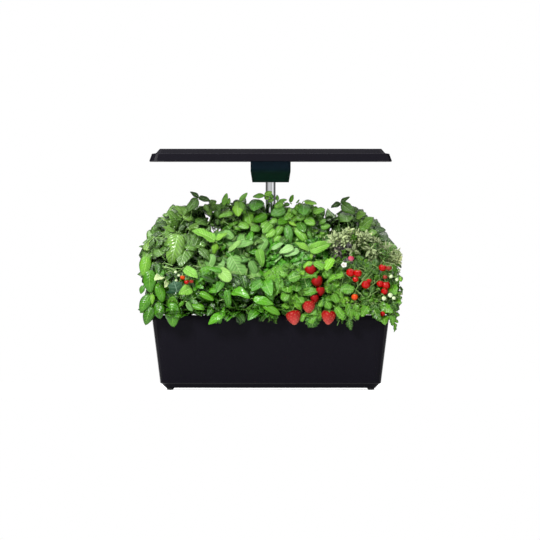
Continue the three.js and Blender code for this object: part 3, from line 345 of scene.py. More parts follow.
def make_world():
    """White behind the object, soft light all round, and strip lights and dark flags in reflections."""
    world = bpy.data.worlds.new("studio")
    scene.world = world
    world.use_nodes = True
    tree = world.node_tree
    background = tree.nodes["Background"]
    path = tree.nodes.new("ShaderNodeLightPath")
    direction = tree.nodes.new("ShaderNodeSeparateXYZ")
    tree.links.new(tree.nodes.new("ShaderNodeTexCoord").outputs["Generated"], direction.inputs[0])

    def calculate(operation, *values):
        return add_math(tree, operation, *values)

    forward = calculate("MULTIPLY", direction.outputs["Y"], -1.0)
    azimuth = calculate("ARCTAN2", direction.outputs["X"], forward)
    turn = calculate("MULTIPLY_ADD", azimuth, 0.5 / math.pi, 0.5)
    ramp = tree.nodes.new("ShaderNodeValToRGB")
    stops = ramp.color_ramp.elements
    while len(stops) < len(STUDIO_AZIMUTHS):
        stops.new(0.5)
    for stop, (degrees, level) in zip(stops, STUDIO_AZIMUTHS):
        stop.position = degrees / 360 + 0.5
        stop.color = (level, level, level, 1)
    tree.links.new(turn, ramp.inputs["Fac"])
    level = calculate("LESS_THAN", calculate("ABSOLUTE", direction.outputs["Z"]), STRIP_HEIGHT)
    strips = calculate("MULTIPLY", calculate("MAXIMUM", ramp.outputs["Color"], FLAG_LEVEL), level)
    above = calculate("GREATER_THAN", direction.outputs["Z"], SOFTBOX_HEIGHT)
    softbox = calculate("MULTIPLY", above, SOFTBOX_LEVEL)
    studio = calculate("MAXIMUM", calculate("MAXIMUM", strips, softbox), FLAG_LEVEL)
    polished = calculate("MULTIPLY", path.outputs["Is Glossy Ray"], studio)
    seen = calculate("MAXIMUM", path.outputs["Is Camera Ray"], path.outputs["Is Transmission Ray"])
    diffuse = calculate("MULTIPLY", path.outputs["Is Diffuse Ray"], AMBIENT)
    strength = calculate("ADD", calculate("MAXIMUM", polished, seen), diffuse)
    background.inputs["Color"].default_value = (1, 1, 1, 1)
    tree.links.new(strength, background.inputs["Strength"])


# Soft lights: place, width and height in metres, and power in watts. All of them aim at one point.
LIT_POINT = (0, 0, 0.2)
LIGHTS = {
    "key": ((-1.0, -1.6, 1.45), (0.6, 0.6), 59),
    "fill": ((1.1, -1.8, 0.7), (0.8, 0.6), 11),
    "top": ((0, 0.3, 1.7), (1.4, 1.0), 18),
}


def make_light(name, place, size, power):
    data = bpy.data.lights.new(name, "AREA")
    data.shape = "RECTANGLE"
    data.size, data.size_y = size
    data.energy = power
    light = bpy.data.objects.new(name, data)
    light.location = place
    light.rotation_euler = (Vector(LIT_POINT) - Vector(place)).to_track_quat("-Z", "Y").to_euler()
    scene.collection.objects.link(light)


# Leaves
VIEWER = np.array([0.0, -1.0, 0.0])
WORLD_UP = np.array([0.0, 0.0, 1.0])


class LeafKind:
    """The shape of one kind of leaf: shares of its length or width, and bends in radians."""

    def __init__(self, slim, base, tip, teeth=0, depth=0.0, fold=0.1, dome=0.15, curl=0.6, wave=0.05):
        self.slim = slim
        self.base = base
        self.tip = tip
        self.teeth = teeth
        self.depth = depth
        self.fold = fold
        self.dome = dome
        self.curl = curl
        self.wave = wave


KINDS = {
    "basil": LeafKind(0.7, 0.52, 0.78, fold=0.16, dome=0.56, curl=1.0, wave=0.03),
    "dark_basil": LeafKind(0.62, 0.5, 0.9, fold=0.4, dome=0.6, curl=1.0, wave=0.06),
    "pepper": LeafKind(0.52, 0.6, 0.95, fold=0.5, dome=0.4, curl=1.0, wave=0.05),
    "mint": LeafKind(0.56, 0.5, 0.95, teeth=8, depth=0.16, fold=0.3, dome=0.2, curl=0.6, wave=0.05),
    "balm": LeafKind(0.8, 0.5, 0.55, teeth=8, depth=0.06, fold=0.05, dome=0.2, curl=0.4, wave=0.04),
    "strawberry": LeafKind(0.74, 0.6, 0.55, teeth=5, depth=0.3, fold=0.3, dome=0.12, curl=0.5, wave=0.06),
    "tomato": LeafKind(0.52, 0.55, 0.9, teeth=4, depth=0.36, fold=0.2, dome=0.12, curl=0.7, wave=0.08),
    "parsley": LeafKind(0.95, 0.9, 0.35, teeth=4, depth=0.5, fold=0.3, dome=0.05, curl=0.5, wave=0.2),
    "ivy": LeafKind(0.95, 0.35, 0.7, teeth=2, depth=0.55, fold=0.1, dome=0.1, curl=0.3, wave=0.04),
    "sage": LeafKind(0.34, 0.6, 0.8, fold=0.3, dome=0.12, curl=0.4, wave=0.04),
    "thyme": LeafKind(0.42, 0.5, 0.6, fold=0.2, dome=0.1, curl=0.3, wave=0.0),
    "sepal": LeafKind(0.4, 0.4, 1.1, fold=0.2, dome=0.1, curl=1.1, wave=0.04),
    "petal": LeafKind(0.85, 0.6, 0.35, fold=-0.1, dome=0.1, curl=-0.3, wave=0.03),
}

FINE_COLUMNS = np.array([-1, -0.78, -0.52, -0.24, 0, 0.24, 0.52, 0.78, 1])
COLUMNS = np.array([-1, -0.55, 0, 0.55, 1])
FEW_COLUMNS = np.array([-1, 0, 1])
FINE_ROWS = 15
ROWS = 8
FEW_ROWS = 5
LEAF_THICKNESS = 0.35 * MM
LEAF_EDGE = 0.25 * MM
DOME_EASE = 1 * MM
SMALL_LEAF = 13 * MM


def leaf_grid(shape, length, detail):
    """How many rows a leaf's mesh has, and where its columns lie across it."""
    if length < SMALL_LEAF:
        return (2 * shape.teeth + 1 if shape.teeth else FEW_ROWS), FEW_COLUMNS
    if detail:
        return (4 * shape.teeth + 1 if shape.teeth else FINE_ROWS), FINE_COLUMNS
    return (2 * shape.teeth + 1 if shape.teeth else ROWS), COLUMNS


def leaf_points(kind, length, random, detail=False, width=None, curl=None):
    """Top and bottom points of a leaf, along +X from the origin with its upper side to +Z."""
    shape = KINDS[kind]
    rows, columns = leaf_grid(shape, length, detail)
    along = np.linspace(0, 1, rows)
    outline = along**shape.base * (1 - along) ** shape.tip
    widest = shape.base / (shape.base + shape.tip)
    outline /= widest**shape.base * (1 - widest) ** shape.tip
    if shape.teeth:
        tooth = (rows - 1) // (2 * shape.teeth)
        outline[tooth :: 2 * tooth] *= 1 + shape.depth
        along[tooth : -1 : 2 * tooth] += shape.depth / rows
    half_width = (width or shape.slim * length * random.uniform(0.88, 1.1)) / 2
    half = outline * half_width + LEAF_EDGE
    curl = shape.curl * random.uniform(0.4, 1.5) if curl is None else curl
    turn = curl * along
    reach = length * np.sinc(turn / 2 / np.pi) * along
    spine_x = reach * np.cos(turn / 2)
    spine_z = -reach * np.sin(turn / 2)
    side = columns[None, :] * half[:, None]
    fold = shape.fold * random.uniform(0.5, 1.4)
    dome = shape.dome * random.uniform(0.6, 1.3)
    rise = fold * np.abs(side) - dome * side**2 / (half.max() + DOME_EASE)
    phase = random.uniform(0, 2 * np.pi)
    ripple = np.sin(2 * np.pi * 1.6 * along[:, None] + phase + np.sign(columns)[None, :])
    rise = rise + shape.wave * length * ripple * columns[None, :] ** 2 * (half[:, None] / half.max())
    normal_x = np.sin(turn)[:, None]
    normal_z = np.cos(turn)[:, None]
    top = np.stack([spine_x[:, None] + rise * normal_x, side, spine_z[:, None] + rise * normal_z], axis=-1)
    lift = np.stack([normal_x + 0 * side, 0 * side, normal_z + 0 * side], axis=-1)
    bottom = top - lift * LEAF_THICKNESS
    marks = np.stack([along[:, None] + 0 * side, columns[None, :] + 0 * side], axis=-1)
    return top, bottom, marks


def leaf_faces(rows, columns):
    """Quads of a leaf whose top and bottom sheets share their rim."""
    top = np.arange(rows * columns).reshape(rows, columns)
    bottom = top.copy()
    inner = (rows - 2) * (columns - 2)
    bottom[1:-1, 1:-1] = rows * columns + np.arange(inner).reshape(rows - 2, columns - 2)
    upper = np.stack([top[:-1, :-1], top[1:, :-1], top[1:, 1:], top[:-1, 1:]], axis=-1)
    lower = np.stack([bottom[:-1, :-1], bottom[:-1, 1:], bottom[1:, 1:], bottom[1:, :-1]], axis=-1)
    return np.concatenate([upper.reshape(-1, 4), lower.reshape(-1, 4)])


TINY = 1e-9
ASKEW = np.array([0.31, 0.87, 0.12])


class Foliage:
    """Gathers leaves, stems and fruit into one mesh with a material for each look."""

    def __init__(self, seed, zones=()):
        self.random = np.random.default_rng(seed)
        self.zones = zones
        self.points = []
        self.faces = []
        self.marks = []
        self.kinds = []
        self.count = 0
        self.names = []

    def clear(self, points):
        return not any(zone(points).any() for zone in self.zones)

    def add(self, points, faces, marks, name):
        if name not in self.names:
            self.names.append(name)
        self.points.append(points)
        self.faces.append(faces + self.count)
        self.marks.append(marks)
        self.kinds.append(np.full(len(faces), self.names.index(name)))
        self.count += len(points)

    def leaf(self, kind, base, forward, up, length, look=None, colour_and_shade=None, **shape):
        """Adds a leaf unless it would reach into something. Says whether it did."""
        top, bottom, marks = leaf_points(kind, length, self.random, **shape)
        rows, columns = top.shape[:2]
        local = np.concatenate([top.reshape(-1, 3), bottom[1:-1, 1:-1].reshape(-1, 3)])
        forward = unit(forward)
        side = unit(np.cross(up, forward))
        upward = np.cross(forward, side)
        points = np.asarray(base) + local @ np.stack([forward, side, upward])
        if not self.clear(points):
            return False
        colour_and_shade = self.random.uniform(0, 1) if colour_and_shade is None else colour_and_shade
        # Painted shade: a leaf in one of the dark depths gets the darkest colour
        if not shape.get("detail") and in_dark_gap(base):
            colour_and_shade = 1.0
        flat = np.concatenate([marks.reshape(-1, 2), marks[1:-1, 1:-1].reshape(-1, 2)])
        inner = len(flat) - rows * columns
        under = np.concatenate([np.zeros(rows * columns), np.ones(inner)])
        values = np.column_stack([flat[:, 0], flat[:, 1], colour_and_shade + 2 * under])
        self.add(points, leaf_faces(rows, columns), values, look or kind)
        return True

    def stem(self, path, ends, look="stem", sides=5):
        """Adds a round stem along a path, with a radius for each of its ends."""
        path = np.asarray(path, float)
        steps = len(path)
        ways = np.gradient(path, axis=0)
        ways /= np.linalg.norm(ways, axis=1)[:, None] + TINY
        first = np.cross(ways, ASKEW)
        first /= np.linalg.norm(first, axis=1)[:, None] + TINY
        second = np.cross(ways, first)
        angles = np.linspace(0, 2 * np.pi, sides, endpoint=False)
        radii = np.linspace(*ends, steps)[:, None, None]
        cosines = np.cos(angles)[None, :, None]
        sines = np.sin(angles)[None, :, None]
        ring = cosines * first[:, None] + sines * second[:, None]
        points = (path[:, None, :] + radii * ring).reshape(-1, 3)
        faces = walls(np.arange(steps * sides).reshape(steps, sides))
        share = np.repeat(np.linspace(0, 1, steps), sides)
        colour_and_shade = np.full(len(share), self.random.uniform(0, 1))
        self.add(points, faces, np.column_stack([share, 0 * share, colour_and_shade]), look)

    def build(self, name, looks):
        points = np.concatenate(self.points)
        faces = np.concatenate(self.faces)
        marks = np.concatenate(self.marks)
        kinds = np.concatenate(self.kinds)
        mesh = bpy.data.meshes.new(name)
        mesh.vertices.add(len(points))
        mesh.vertices.foreach_set("co", points.ravel())
        mesh.loops.add(faces.size)
        mesh.loops.foreach_set("vertex_index", faces.ravel())
        mesh.polygons.add(len(faces))
        mesh.polygons.foreach_set("loop_start", np.arange(0, faces.size, 4))
        mesh.polygons.foreach_set("material_index", kinds)
        mesh.polygons.foreach_set("use_smooth", np.ones(len(faces), bool))
        mesh.attributes.new("leaf", "FLOAT_VECTOR", "POINT").data.foreach_set("vector", marks.ravel())
        mesh.update(calc_edges=True)
        mesh.validate()
        for kind in self.names:
            mesh.materials.append(looks[kind])
        piece = bpy.data.objects.new(name, mesh)
        scene.collection.objects.link(piece)
        return piece


def walls(rings):
    """Quads round the rings of points whose numbers are given, from each ring to the next."""
    after = np.roll(rings, -1, axis=1)
    return np.stack([rings[:-1], after[:-1], after[1:], rings[1:]], axis=-1).reshape(-1, 4)


def caps(rings):
    """Quads that close the last and the first of the rings, which have an even number of points."""
    sides = rings.shape[1]
    half = np.arange(sides // 2 - 1)
    lid = np.stack([half, half + 1, sides - 2 - half, sides - 1 - half], axis=-1)
    return np.concatenate([rings[-1][lid], rings[0][lid[:, ::-1]]])


def unit(vector):
    return vector / np.linalg.norm(vector)


def curve(start, middle, end, steps):
    share = np.linspace(0, 1, steps)[:, None]
    return (1 - share) ** 2 * start + 2 * share * (1 - share) * middle + share**2 * end


HARDLY_SQUARE = 1e-3
OTHER_WAY = np.array([0.3, 0.2, 0.5])


def level_out(forward, up):
    """An up direction square to a leaf's forward direction."""
    flat = up - forward * np.dot(up, forward)
    if np.linalg.norm(flat) > HARDLY_SQUARE:
        return unit(flat)
    return level_out(forward, up + OTHER_WAY)


def corners(node):
    return tuple(np.array(corner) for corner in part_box(node))


# Places that leaves keep out of: the tank with its deck, the mast, the neck, the float, the flap's swing.
LEAF_CLEARANCE = 1 * MM
DECK_CREST = 4 * MM
FLOAT_RISE = 24 * MM

# How far the leaves reach: columns of the photograph at the sides, and depths at the front and back
REACH_COLUMNS = (136.8, 403.4)
REACH_FRONT = -146 * MM
REACH_BACK = 136 * MM

# Where the white background shows between the back plants: column, row and radius in pixels
SKY_GAPS = [
    (335, 211, 1.6), (345.5, 218, 1.5), (341, 224.5, 1.5), (319, 219, 1.2), (320.5, 226, 1.2),
    (329, 222, 1.4), (198.5, 215, 1.3), (207.5, 219, 1.2), (292.5, 205, 1.4),
]


def box_zone(low, high):
    return lambda points: ((points > low) & (points < high)).all(axis=1)


def tube_zone(place, radius, low, high):
    def inside(points):
        off = np.hypot(points[:, 0] - place[0], points[:, 1] - place[1])
        return (off < radius) & (points[:, 2] > low) & (points[:, 2] < high)

    return inside


def clear_of(node, rise=LEAF_CLEARANCE):
    """The box round a piece with a clearance, and with a rise of its own above the piece."""
    low, high = corners(node)
    return box_zone(low - LEAF_CLEARANCE, high + [LEAF_CLEARANCE, LEAF_CLEARANCE, rise])


def make_zones():
    deck_low, deck_high = corners("deck")
    deck_top = deck_high + [LEAF_CLEARANCE, LEAF_CLEARANCE, -DECK_CREST]
    zones = [box_zone(deck_low * [1, 1, 0] - LEAF_CLEARANCE, deck_top)]
    for node in ("mast_lower_tube", "mast_collar", "mast_upper_tube"):
        low, high = corners(node)
        radius = (high[0] - low[0]) / 2 + LEAF_CLEARANCE
        zones.append(tube_zone((low + high) / 2, radius, low[2], high[2]))
    zones += [clear_of(node) for node in ("mast_base", "neck_housing", "neck_rear_cover", "power_inlet")]
    low, high = corners("filler_flap")
    zones.append(clear_of("filler_flap", high[1] - low[1] + LEAF_CLEARANCE))
    zones.append(clear_of("level_float", FLOAT_RISE))
    left, right = (across(column) for column in REACH_COLUMNS)
    zones.append(lambda points: (points[:, 0] < left) | (points[:, 0] > right))
    zones.append(lambda points: (points[:, 1] < REACH_FRONT) | (points[:, 1] > REACH_BACK))
    zones += [view_zone(seen_at(column, row, 0), size * PIXEL) for column, row, size in SKY_GAPS]
    return zones


# The dark depths between the leaves in the photograph, in columns and rows; leaves there get the darkest
# colour as painted shade
DARK_GAPS = [
    ((165, 182), (288, 308)),
    ((196, 214), (291, 317)),
    ((183, 206), (307, 317)),
    ((213, 226), (293, 310)),
    ((229, 250), (298, 312)),
    ((241, 250), (309, 317)),
    ((203, 216), (278, 288)),
    ((230, 243), (278, 288)),
    ((147, 154), (282, 293)),
    ((271, 287), (286, 309)),
    ((181, 190), (222, 235)),
]


def in_dark_gap(place):
    for (left, right), (top, bottom) in DARK_GAPS:
        if across(left) < place[0] < across(right) and height(bottom) < place[2] < height(top):
            return True
    return False


# Leaf materials
VEIN_SLANT = 0.22
VEIN_PALENESS = 0.55
PAINTED_RIM_HIGHLIGHT = 0.3
PAINTED_CREASE_SHADE = 0.55
LIGHTEST_LEAF_GAIN = (1.5, 1.28, 1.15)
BLOTCH_SCALE = 160
SHEEN_SCALE = 420
PORE_SCALE = 700
QUILT_DEPTH = 0.7 * MM


def leaf_material(name, colour, vein, deep, pairs, gloss, quilt, shine):
    """A leaf: a pale midrib and side veins, painted shade in its depths and creases, a painted highlight on
    its rim, a paler underside and quilted relief.
    """
    look = Shading(name, colour, gloss, specular=shine)
    along, side, extra = look.split(look.attribute("leaf"))
    under = look.math("GREATER_THAN", extra, 1.5)
    colour_and_shade = look.math("SUBTRACT", extra, look.math("MULTIPLY", under, 2.0))
    spread = look.math("ABSOLUTE", side)
    rib = look.range(spread, 0.02, 0.09, 1.0, 0.0)
    slope = look.math("SUBTRACT", along, look.math("MULTIPLY", spread, VEIN_SLANT))
    band = look.math("PINGPONG", look.math("MULTIPLY", slope, float(pairs)), 0.5)
    branch = look.range(band, 0.02, 0.1, 1.0, 0.0)
    branch = look.math("MULTIPLY", branch, look.range(spread, 0.4, 1.0, 0.7, 0.1))
    veins = look.math("MAXIMUM", rib, branch, clamp=True)
    cloud = look.range(look.noise(BLOTCH_SCALE, 3), 0.35, 0.7, 0.0, 0.3)
    shade = look.mix(cloud, colour, deep)
    # A leaf's darkness value mixes it towards its dark colour, and the lightest leaves turn paler and
    # warmer: their own colour together with painted light and shade
    shade = look.mix(look.range(colour_and_shade, 0.2, 1.0, 0.0, 0.85), shade, deep)
    warm = tuple(min(1.0, channel * gain) for channel, gain in zip(colour, LIGHTEST_LEAF_GAIN))
    shade = look.mix(look.range(colour_and_shade, 0.3, 0.0, 0.0, 0.8), shade, warm)
    # Painted highlight: the rim of each leaf is paled towards its vein colour
    edge = look.math("MULTIPLY", look.range(spread, 0.86, 1.0), PAINTED_RIM_HIGHLIGHT)
    # Painted shade: the creases between the side veins are coloured towards the dark colour
    crease = look.range(band, 0.0, 0.2, PAINTED_CREASE_SHADE * quilt, 0.0)
    shade = look.mix(look.math("MULTIPLY", crease, look.range(spread, 0.0, 0.12)), shade, deep)
    pale_parts = look.math("MAXIMUM", look.math("MULTIPLY", veins, VEIN_PALENESS), edge)
    shade = look.mix(pale_parts, shade, vein)
    pale = tuple((one + other) / 2 for one, other in zip(colour, vein))
    shade = look.mix(look.math("MULTIPLY", under, 0.7), shade, pale)
    look.colour(shade)
    pillow = look.math("SINE", look.math("MULTIPLY", band, math.pi))
    relief = look.math("SUBTRACT", look.math("MULTIPLY", pillow, 0.8), veins)
    relief = look.math("ADD", relief, look.math("MULTIPLY", look.noise(PORE_SCALE, 2), 0.12))
    look.bump(relief, quilt, QUILT_DEPTH)
    look.roughness(look.range(look.noise(SHEEN_SCALE, 2), *MIDDLE_BAND, gloss * 0.8, gloss * 1.25))
    return look.material


# The colours of each kind of leaf on its face, along its veins and in its depths, the last for blotches and
# for painted shade, then how many pairs of side veins it has, its roughness, how far it puffs up between
# the veins and how strongly it shines.
LEAF_LOOKS = {
    "basil": ((0.055, 0.22, 0.005), (0.18, 0.42, 0.05), (0.005, 0.035, 0.001), 7, 0.22, 0.5, 0.32),
    "lime": ((0.13, 0.35, 0.022), (0.36, 0.6, 0.12), (0.04, 0.16, 0.006), 7, 0.28, 0.6, 0.28),
    "teal": ((0.15, 0.42, 0.055), (0.36, 0.66, 0.22), (0.02, 0.14, 0.012), 7, 0.24, 0.7, 0.5),
    "dark_basil": ((0.15, 0.34, 0.05), (0.44, 0.68, 0.28), (0.01, 0.04, 0.004), 8, 0.2, 0.9, 0.6),
    # top_basil is paler basil for the tops of the back plants: partly their own colour, partly painted
    # light where the lamp shades them
    "top_basil": ((0.25, 0.6, 0.06), (0.5, 0.82, 0.27), (0.04, 0.18, 0.008), 7, 0.2, 0.7, 0.55),
    "pepper": ((0.055, 0.25, 0.006), (0.26, 0.55, 0.09), (0.002, 0.014, 0.0006), 6, 0.22, 0.35, 0.36),
    "mint": ((0.22, 0.54, 0.065), (0.58, 0.86, 0.3), (0.05, 0.22, 0.012), 9, 0.36, 1.0, 0.28),
    "pale_mint": ((0.4, 0.74, 0.25), (0.72, 0.95, 0.58), (0.09, 0.34, 0.035), 9, 0.34, 0.9, 0.4),
    "balm": ((0.22, 0.48, 0.11), (0.48, 0.74, 0.3), (0.07, 0.22, 0.03), 8, 0.4, 0.8, 0.34),
    "strawberry": ((0.14, 0.4, 0.022), (0.5, 0.8, 0.24), (0.015, 0.11, 0.004), 7, 0.26, 0.8, 0.28),
    "tomato": ((0.09, 0.28, 0.01), (0.3, 0.54, 0.1), (0.008, 0.045, 0.002), 5, 0.28, 0.5, 0.28),
    "parsley": ((0.07, 0.31, 0.016), (0.22, 0.55, 0.09), (0.008, 0.07, 0.002), 3, 0.3, 0.4, 0.28),
    "ivy": ((0.04, 0.13, 0.06), (0.3, 0.46, 0.32), (0.012, 0.045, 0.02), 4, 0.4, 0.4, 0.28),
    "sage": ((0.6, 0.74, 0.34), (0.85, 0.92, 0.66), (0.16, 0.22, 0.07), 4, 0.6, 0.4, 0.28),
    "purple_sage": ((0.26, 0.24, 0.24), (0.52, 0.54, 0.46), (0.07, 0.065, 0.07), 4, 0.55, 0.4, 0.28),
    "thyme": ((0.075, 0.23, 0.012), (0.24, 0.46, 0.09), (0.008, 0.04, 0.002), 2, 0.36, 0.2, 0.28),
    "calyx": ((0.1, 0.36, 0.03), (0.3, 0.55, 0.12), (0.04, 0.18, 0.01), 2, 0.4, 0.2, 0.28),
}


STEM_STREAKS = 300
CRUMB_SCALE = 240
LUMP_SCALE = 500
LUMP_DEPTH = 1.5 * MM
PIT_SCALE = 420
PIT_DEPTH = 0.7 * MM
FLUSH_SCALE = 120
SKIN_SCALE = 40


def stem_material():
    look = Shading("green_stem", (0.2, 0.4, 0.08), 0.45)
    streak = look.range(look.noise(STEM_STREAKS, 3), *MIDDLE_BAND)
    look.colour(look.mix(streak, (0.14, 0.34, 0.05), (0.34, 0.5, 0.17)))
    return look.material


def plug_material():
    """Dark peat with pale specks."""
    look = Shading("peat_plug", (0.03, 0.02, 0.012), 0.9, specular=0.2)
    speck = look.range(look.cells(PIT_SCALE), 0.1, 0.2, 1.0, 0.0)
    crumb = look.range(look.noise(CRUMB_SCALE, 5), *MIDDLE_BAND)
    soil = look.mix(crumb, (0.012, 0.008, 0.005), (0.075, 0.05, 0.03))
    look.colour(look.mix(look.math("MULTIPLY", speck, 0.6), soil, (0.5, 0.48, 0.42)))
    look.bump(look.noise(LUMP_SCALE, 5), 0.9, LUMP_DEPTH)
    return look.material


def skin_material(name, colour, tip, gloss, seeded):
    """The skin of a fruit, which changes from shoulders to tip and on a berry has pits for seeds."""
    look = Shading(name, colour, gloss, specular=0.14 if seeded else 0.2)
    along = look.split(look.attribute("leaf"))[0]
    shade = look.mix(look.range(along, 0.25, 1.0), colour, tip)
    flush = look.range(look.noise(FLUSH_SCALE, 3), 0.35, 0.7, 0.0, 0.35)
    shade = look.mix(flush, shade, tuple(0.5 * channel for channel in colour))
    look.colour(shade)
    if seeded:
        pits = look.range(look.cells(PIT_SCALE), 0.0, 0.35)
        look.bump(pits, 0.8, PIT_DEPTH)
        look.roughness(look.range(pits, 0.0, 1.0, gloss * 1.4, gloss * 0.8))
    else:
        look.roughness(look.range(look.noise(SKIN_SCALE, 2), *MIDDLE_BAND, gloss * 0.8, gloss * 1.3))
    return look.material


# The skins of fruit, buds and petals: the colour at the shoulders, at the tip, the roughness, and whether
# the skin is pitted.
SKINS = {
    "berry": ((0.33, 0.003, 0.003), (0.7, 0.1, 0.09), 0.42, True),
    "dark_berry": ((0.3, 0.002, 0.003), (0.2, 0.002, 0.004), 0.4, True),
    "seed": ((0.66, 0.26, 0.12), (0.7, 0.3, 0.16), 0.4, False),
    "red_tomato": ((0.42, 0.001, 0.001), (0.48, 0.001, 0.001), 0.09, False),
    "orange_tomato": ((0.66, 0.08, 0.006), (0.66, 0.03, 0.004), 0.16, False),
    "brown_tomato": ((0.28, 0.02, 0.01), (0.34, 0.05, 0.03), 0.22, False),
    "bud": ((0.62, 0.78, 0.42), (0.78, 0.86, 0.62), 0.4, False),
    "pink_bud": ((0.5, 0.03, 0.08), (0.62, 0.2, 0.26), 0.4, False),
    "petal": ((0.85, 0.86, 0.78), (0.9, 0.9, 0.86), 0.5, False),
}


def make_looks():
    looks = {name: leaf_material("leaf_" + name, *row) for name, row in LEAF_LOOKS.items()}
    looks.update({name: skin_material("skin_" + name, *row) for name, row in SKINS.items()})
    looks["stem"] = stem_material()
    looks["plug"] = plug_material()
    return looks


# Tops of the leaves of each row of plants, in columns and rows. The last is the outline in the photograph.
FRONT_OUTLINE = [
    (138, 254), (155, 262), (180, 271), (205, 268), (235, 272), (262, 277), (285, 268), (312, 262),
    (328, 258), (336, 258), (348, 264), (402, 266),
]
MIDDLE_OUTLINE = [
    (138, 238), (176, 230), (215, 226), (262, 232), (271, 242), (310, 241), (330, 238), (338, 229),
    (366, 235), (402, 256),
]
BACK_OUTLINE = [
    (138, 247), (153, 223), (170, 205), (190, 191.6), (198, 197), (212, 193), (227, 192.5), (248, 192),
    (261, 189.8), (264, 206), (275, 206), (278, 191), (294, 194), (309, 196), (318, 201), (328, 212),
    (341, 203), (350, 196), (357, 203), (369, 210), (387, 230), (402, 253),
]


def canopy_top(x, row=2):
    outline = (FRONT_OUTLINE, MIDDLE_OUTLINE, BACK_OUTLINE)[row]
    places = [across(column) for column, _ in outline]
    tops = [height(top) for _, top in outline]
    return float(np.interp(x, places, tops))


# Crowns: the blocks of air that the leaves of one plant fill
POD_PITCH = np.array([92, 66, 1000]) * MM
CROWN_BOTTOMS = (102 * MM, 124 * MM, 124 * MM)
CROWN_RISE = 4 * MM
CROWN_LAP = np.array([11, 8, 0]) * MM
SQUARENESS = 4.0
LAYERS = ((1.0, 0.4), (0.86, 0.36), (0.68, 0.24))
EVEN_STEPS = (0.7548776662, 0.5698402910)
NEIGHBOUR_REACH = 1.15
ROW_TOPS = (208 * MM, 258 * MM)
HIDDEN_DEPTH = 42 * MM
LOW_LEAVES = 146 * MM
OUTER_PODS = 190 * MM


def basket_corners(node):
    """The corners of the box round the basket that a plant stands in."""
    return corners("net_basket_" + node.split("_")[1])


def pod_centre(node):
    """The middle of a plant's basket, at the basket's rim."""
    low, high = basket_corners(node)
    return np.array([(low[0] + high[0]) / 2, (low[1] + high[1]) / 2, high[2]])


class Crown:
    """The rounded block that one plant's leaves fill, a little past halfway to the pods beside it."""

    def __init__(self, node):
        low, high = corners(node)
        self.root = pod_centre(node)
        self.row = (int(node.split("_")[1]) - 1) // 4
        half = POD_PITCH / 2
        inner_low = self.root - low < half * NEIGHBOUR_REACH
        inner_high = high - self.root < half * NEIGHBOUR_REACH
        self.low = np.where(inner_low, self.root - half - CROWN_LAP, low)
        self.high = np.where(inner_high, self.root + half + CROWN_LAP, high)
        self.low[2] = CROWN_BOTTOMS[self.row]
        self.high[2] = high[2] + CROWN_RISE
        self.centre = (self.low + self.high) / 2
        self.reach = (self.high - self.low) / 2

    def spots(self, count, random):
        """Even places on the block with the way out of it there."""
        across_area = self.reach[1] * self.reach[2]
        along_area = self.reach[0] * self.reach[2]
        areas = np.array([across_area, across_area, along_area, along_area, self.reach[0] * self.reach[1]])
        for index in range(count):
            face = random.choice(5, p=areas / areas.sum())
            first, second = ((index * step + random.uniform(0, 0.1)) % 1 * 2 - 1 for step in EVEN_STEPS)
            way = np.array([first, second, 1.0])
            if face < 4:
                axis = face // 2
                way[2] = second
                way[axis] = 1 if face % 2 else -1
                way[1 - axis] = first
            way /= (np.abs(way) ** SQUARENESS).sum() ** (1 / SQUARENESS)
            outward = np.sign(way) * np.abs(way) ** (SQUARENESS - 1) / self.reach
            yield way, unit(outward)

    def hidden(self, spot, outward):
        """Whether the plants round this one hide a place."""
        if spot[2] < LOW_LEAVES:
            return False
        beyond = abs(spot[0] + outward[0] * POD_PITCH[0] / 2)
        faces_plant = abs(outward[0]) > 0.7 and beyond < OUTER_PODS
        below_front = self.row > 0 and outward[1] < -0.7 and spot[2] < ROW_TOPS[self.row - 1] - HIDDEN_DEPTH
        below_back = self.row < 2 and outward[1] > 0.7 and spot[2] < self.high[2] - HIDDEN_DEPTH
        return below_front or below_back or (faces_plant and spot[2] < self.high[2] - HIDDEN_DEPTH)


# What grows in each pod: how many leaves, and for each sort its habit, kind, look, length in millimetres
# and share.
PLANTS = {
    "plant_01_basil": (170, [("single", "basil", "basil", 36, 1.0)]),
    "plant_02_pepper": (180, [("single", "pepper", "pepper", 34, 1.0)]),
    "plant_03_strawberry": (190, [("trefoil", "strawberry", "strawberry", 22, 1.0)]),
    "plant_04_tomato": (300, [("pinnate", "tomato", "tomato", 17, 1.0)]),
    "plant_05_darkBasil": (200, [("single", "dark_basil", "dark_basil", 36, 1.0)]),
    "plant_06_balm": (230, [("single", "balm", "balm", 27, 0.5), ("single", "pepper", "pepper", 28, 0.5)]),
    "plant_07_mint": (
        260,
        [("single", "mint", "pale_mint", 27, 0.5), ("trefoil", "parsley", "parsley", 13, 0.5)],
    ),
    "plant_08_sage": (300, [("sprig", "sage", "sage", 15, 0.7), ("sprig", "thyme", "thyme", 8, 0.3)]),
    "plant_09_darkBasil": (260, [("single", "dark_basil", "dark_basil", 37, 1.0)]),
    "plant_10_basil": (
        270,
        [("single", "dark_basil", "dark_basil", 33, 0.5), ("single", "basil", "top_basil", 31, 0.5)],
    ),
    "plant_11_basil": (270, [("single", "basil", "top_basil", 31, 1.0)]),
    "plant_12_darkBasil": (260, [("single", "dark_basil", "dark_basil", 37, 1.0)]),
}

TRIES = 4
LIFT = 0.4
UNEVEN = 0.46
TRAIL_DOWN = 0.55
TO_VIEWER = 0.5
LAYER_STEP = 0.05
# Painted shade: how much darker the inner layers are coloured, and in each row the leaves that face the
# front and those below SHADED_LEVEL
INNER_SHADE = 3.5
ROW_SHADES = (0.3, 0.15, 0.05)
FACES_FRONT = -0.3
SHADED_LEVEL = 152 * MM
SHADE_FADE = 20 * MM
TOP_SPREAD = 5 * MM

